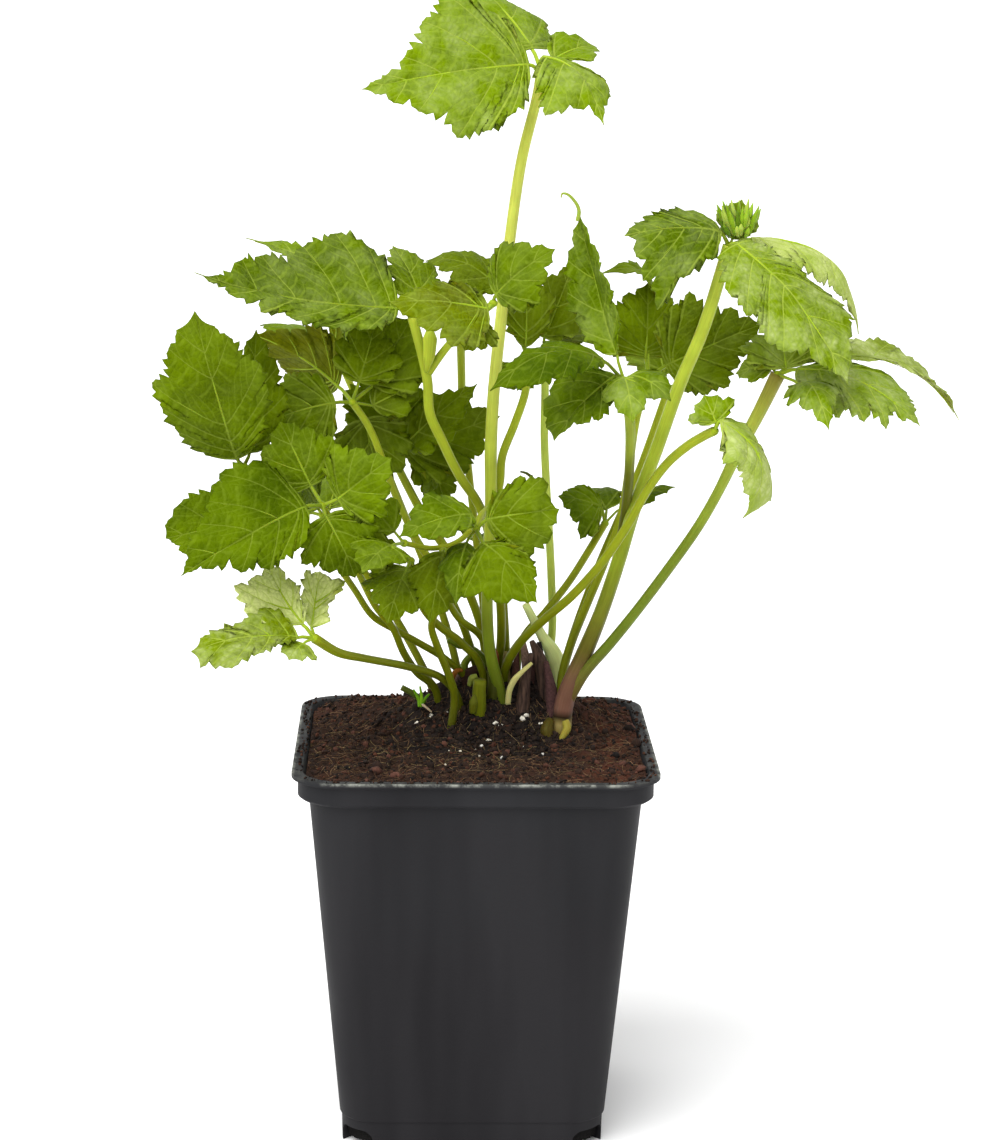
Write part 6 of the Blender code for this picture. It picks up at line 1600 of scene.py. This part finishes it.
def ribs(leaf, hub, tone):
    """Raised ribs under the blade: a midrib that starts as the stalklet, and lateral veins."""
    length = (leaf["tip"] - leaf["base"]).length
    size = min(1.0, 0.45 + leaf["half"] / 24)
    # Ribs darken with the leaflet's deep tone, which is partly painted shade
    tint = np.array(srgb(RIB_COLOUR)) * (1 - 0.45 * tone[0])
    tint[3] = 1.0
    shares = np.linspace(0.0, RIB_END, RIB_STEPS)
    spine, _, normal = midrib(leaf, shares)
    sunk = spine - normal * (RIB_DEPTH + 0.2 * (1 - shares))[:, None]
    ahead = (leaf["base"] - hub).normalized()
    lead = [hub + ahead * (leaf["base"] - hub).length * k / 4 for k in range(4)]
    parts = [strand([*lead, *sunk], (RIB_RADIUS * size, RIB_TIP), RIB_SIDES, tint, 2)]
    if leaf["half"] < RIBLESS_HALF:
        return parts
    roots = vein_roots(leaf, length)
    for out in (1, -1):
        coarse = half_outline(leaf, out)
        for k in range(1, len(coarse) - 2, 2):
            a, b = coarse[k]
            start = float(roots(k))
            t = np.linspace(*VEIN_SPAN, VEIN_STEPS)
            along, across = start + (a - start) * t**VEIN_BEND, b * t
            line = blade_points(leaf, along, across, out, np.full(VEIN_STEPS, -VEIN_DEPTH))
            parts.append(strand(line, (VEIN_RADIUS * size, VEIN_TIP), VEIN_SIDES, tint, 2))
    return parts


def ball(centre, radii, tint, steps=8):
    """A small closed egg shape about a centre, for the hubs of the leaves."""
    points, faces = [(0.0, 0.0, -1.0)], []
    for i in range(1, steps):
        polar = math.pi * i / steps
        for k in range(2 * steps):
            turn = math.pi * k / steps
            wide = math.sin(polar)
            points.append((wide * math.cos(turn), wide * math.sin(turn), -math.cos(polar)))
    points.append((0.0, 0.0, 1.0))
    ring = 2 * steps
    for k in range(ring):
        after = (k + 1) % ring
        faces.append((0, 1 + after, 1 + k))
        for i in range(steps - 2):
            low, high = 1 + i * ring, 1 + (i + 1) * ring
            faces.append((low + k, low + after, high + after, high + k))
        last = 1 + (steps - 2) * ring
        faces.append((last + k, last + after, len(points) - 1))
    skin = np.array(points) * np.array(radii) + np.array(centre)
    return skin, faces, 2, {"tint": np.tile(tint, (len(skin), 1))}


def make_leaf(name, hub, leaflets, finishes):
    """A leaf: fine blades with their ribs, on a small swollen hub."""
    tones = TONES.get(name, [PLAIN_TONE])
    random = seeded(name)
    parts = []
    for k, leaf in enumerate(leaflets):
        tone = tones[min(k, len(tones) - 1)]
        own = tuple(float(max(0.0, value + random.normal(0, 0.05))) for value in tone)
        columns = WIDE_COLUMNS if leaf["half"] > WIDE_HALF else NARROW_COLUMNS
        parts.append(fine_blade(leaf, own, columns))
        parts += ribs(leaf, hub, own)
    # The hub darkens with the first leaflet's deep tone, which is partly painted shade
    tint = np.array(srgb(HUB_COLOUR)) * (1 - 0.3 * tones[0][0])
    parts.append(ball(hub, HUB_RADII, tint))
    return build_piece(name + "_fine", parts, finishes, [name])


def make_tuft(finish):
    """The young leaf at the top of the right stalk, still folded in a tuft of downy teeth."""
    random = seeded("tuft")
    parts = []
    x, z, y = TUFT_FOOT
    for _ in range(TUFT_SPIKES):
        lean = random.uniform(*TUFT_LEANS)
        away = random.uniform(*TUFT_DEPTHS)
        length = random.uniform(*TUFT_LENGTHS) * (1 - 0.25 * abs(lean))
        foot = (x + 4.0 * lean, z + random.uniform(0.0, 3.0), y + 3.0 * away)
        middle = (foot[0] + 0.5 * length * lean, foot[1] + 0.55 * length, foot[2] + 2.0 * away)
        tip = (middle[0] + 0.3 * length * lean, middle[1] + 0.42 * length, middle[2] + 1.0 * away)
        line = seen_line((foot, middle, tip), TUFT_STEPS)
        tint = srgb(TUFT_COLOURS[random.randint(len(TUFT_COLOURS))])
        parts.append(strand(line, TUFT_RADII, VEIN_SIDES, tint))
    return build_piece("young_tuft", parts, [finish])


# Stage


def make_stage():
    """A pale floor that fills the view, one broad soft light and an even white sky."""
    bpy.ops.object.select_all(action="DESELECT")
    bpy.ops.mesh.primitive_plane_add(size=120.0, location=(0.0, 0.0, 0.0))
    floor = bpy.context.object
    floor.name = "floor"
    paint, _, shader = new_material("matt_white_floor", Roughness=0.9)
    shader.inputs["Base Color"].default_value = srgb("F4F4F4")
    floor.data.materials.append(paint)
    sun = bpy.data.lights.new("soft_key", "SUN")
    sun.energy = KEY_STRENGTH
    sun.angle = math.radians(KEY_SPREAD)
    holder = bpy.data.objects.new("soft_key", sun)
    bpy.context.scene.collection.objects.link(holder)
    holder.rotation_euler = Vector(KEY_WAY).to_track_quat("-Z", "Y").to_euler()
    world = bpy.data.worlds.new("even_white_sky")
    bpy.context.scene.world = world
    world.use_nodes = True
    sky = world.node_tree.nodes["Background"]
    sky.inputs["Color"].default_value = (1.0, 1.0, 1.0, 1.0)
    sky.inputs["Strength"].default_value = SKY_STRENGTH
    bpy.context.scene.view_settings.view_transform = "Standard"


def make_camera():
    """The camera of the photograph: its place, turn and lens."""
    yaw, pitch, roll = (math.radians(angle) for angle in (YAW, PITCH, ROLL))
    level = Vector((math.sin(yaw), math.cos(yaw), 0.0))
    right = Vector((math.cos(yaw), -math.sin(yaw), 0.0))
    rise = Vector((0.0, 0.0, 1.0))
    ahead = level * math.cos(pitch) - rise * math.sin(pitch)
    up = rise * math.cos(pitch) + level * math.sin(pitch)
    turned_right = right * math.cos(roll) + up * math.sin(roll)
    turned_up = up * math.cos(roll) - right * math.sin(roll)
    camera = bpy.data.objects.new("camera", bpy.data.cameras.new("camera"))
    bpy.context.scene.collection.objects.link(camera)
    turn = Matrix((turned_right, turned_up, -ahead)).transposed()
    camera.matrix_world = Matrix.Translation(EYE * MM) @ turn.to_4x4()
    camera.data.sensor_width = SENSOR
    camera.data.lens = FOCAL_PIXELS * SENSOR / max(PHOTO_WIDTH, PHOTO_HEIGHT)
    camera.data.clip_start = 0.01
    camera.data.clip_end = 200.0
    bpy.context.scene.camera = camera


def make_compost_and_bits(finish):
    """The compost, then what lies on it: crumbs, chips, fibres, roots and perlite."""
    make_compost(compost_material())
    lump = bit_shape()
    random = seeded("compost")
    for name, (count, centre, spread, *looks) in LOOSE_LUMPS.items():
        lumps(name, lump, spots_on_soil(random, count, centre, spread), finish, *looks)
    for name, (count, centre, spread, *looks) in LOOSE_FIBRES.items():
        fibres(name, spots_on_soil(random, count, centre, spread), finish, *looks)
    edge = [(x, EDGE_LINE + 3.0 * math.sin(x)) for x in EDGE_SPOTS]
    fibres("fibres_on_the_edge", edge, finish, *EDGE_FIBRES)
    lumps("crumbs_on_the_lip", lump, spots_on_lip(seeded("lip"), LIP_CRUMBS), finish, *LIP_LOOKS)
    for x, z, size in PERLITE_SPOTS:
        place = on_soil(x, z)
        pair = [(place[0], place[1]), (place[0] + 0.8 * size, place[1] + 0.5 * size)]
        lumps("perlite_crumb_%d_%d" % (round(x), round(z)), lump, pair, finish, (size, size),
              0.45, 0.0, (PERLITE_COLOUR,))


def make_crown(green, brown, loose):
    """The old leaf bases and the small growths round them, and the tuft of young leaves."""
    for name, (points, radii) in STUBS.items():
        dry = "brown" in name
        part = strand(seen_line(points), radii, STEM_SIDES, srgb(STUB_TINTS.get(name, PLAIN_STUB)))
        slot = "old_sheath" if dry else "stem_green"
        build_piece(name + "_fine", [part], [brown if dry else green], [name])
    make_tuft(green)
    for name, (rows, slot) in {**CROWN_BITS, **LEAF_BITS}.items():
        parts = [strand(seen_line(points), radii, BIT_SIDES, srgb(shade))
                 for points, radii, shade in rows]
        build_piece(name, parts, [loose if slot == "old_sheath" else green])


def make_plant():
    """The camera and the stage, then every piece from the pot up to the leaves."""
    make_camera()
    make_stage()
    make_pot(pot_material())
    loose = speck_material()
    make_compost_and_bits(loose)
    green = stem_material()
    for name, (radii, points) in STEMS.items():
        make_stem(name, points, radii, green)
    make_crown(green, sheath_material(), loose)
    finishes = [leaf_material("quilted_leaf"), leaf_material("leaf_underside"), green]
    for name, (carrier, leaflets) in LEAVES.items():
        hub = seen(*STEMS[carrier][1][-1])
        make_leaf(name, hub, leaflets, finishes)


make_plant()
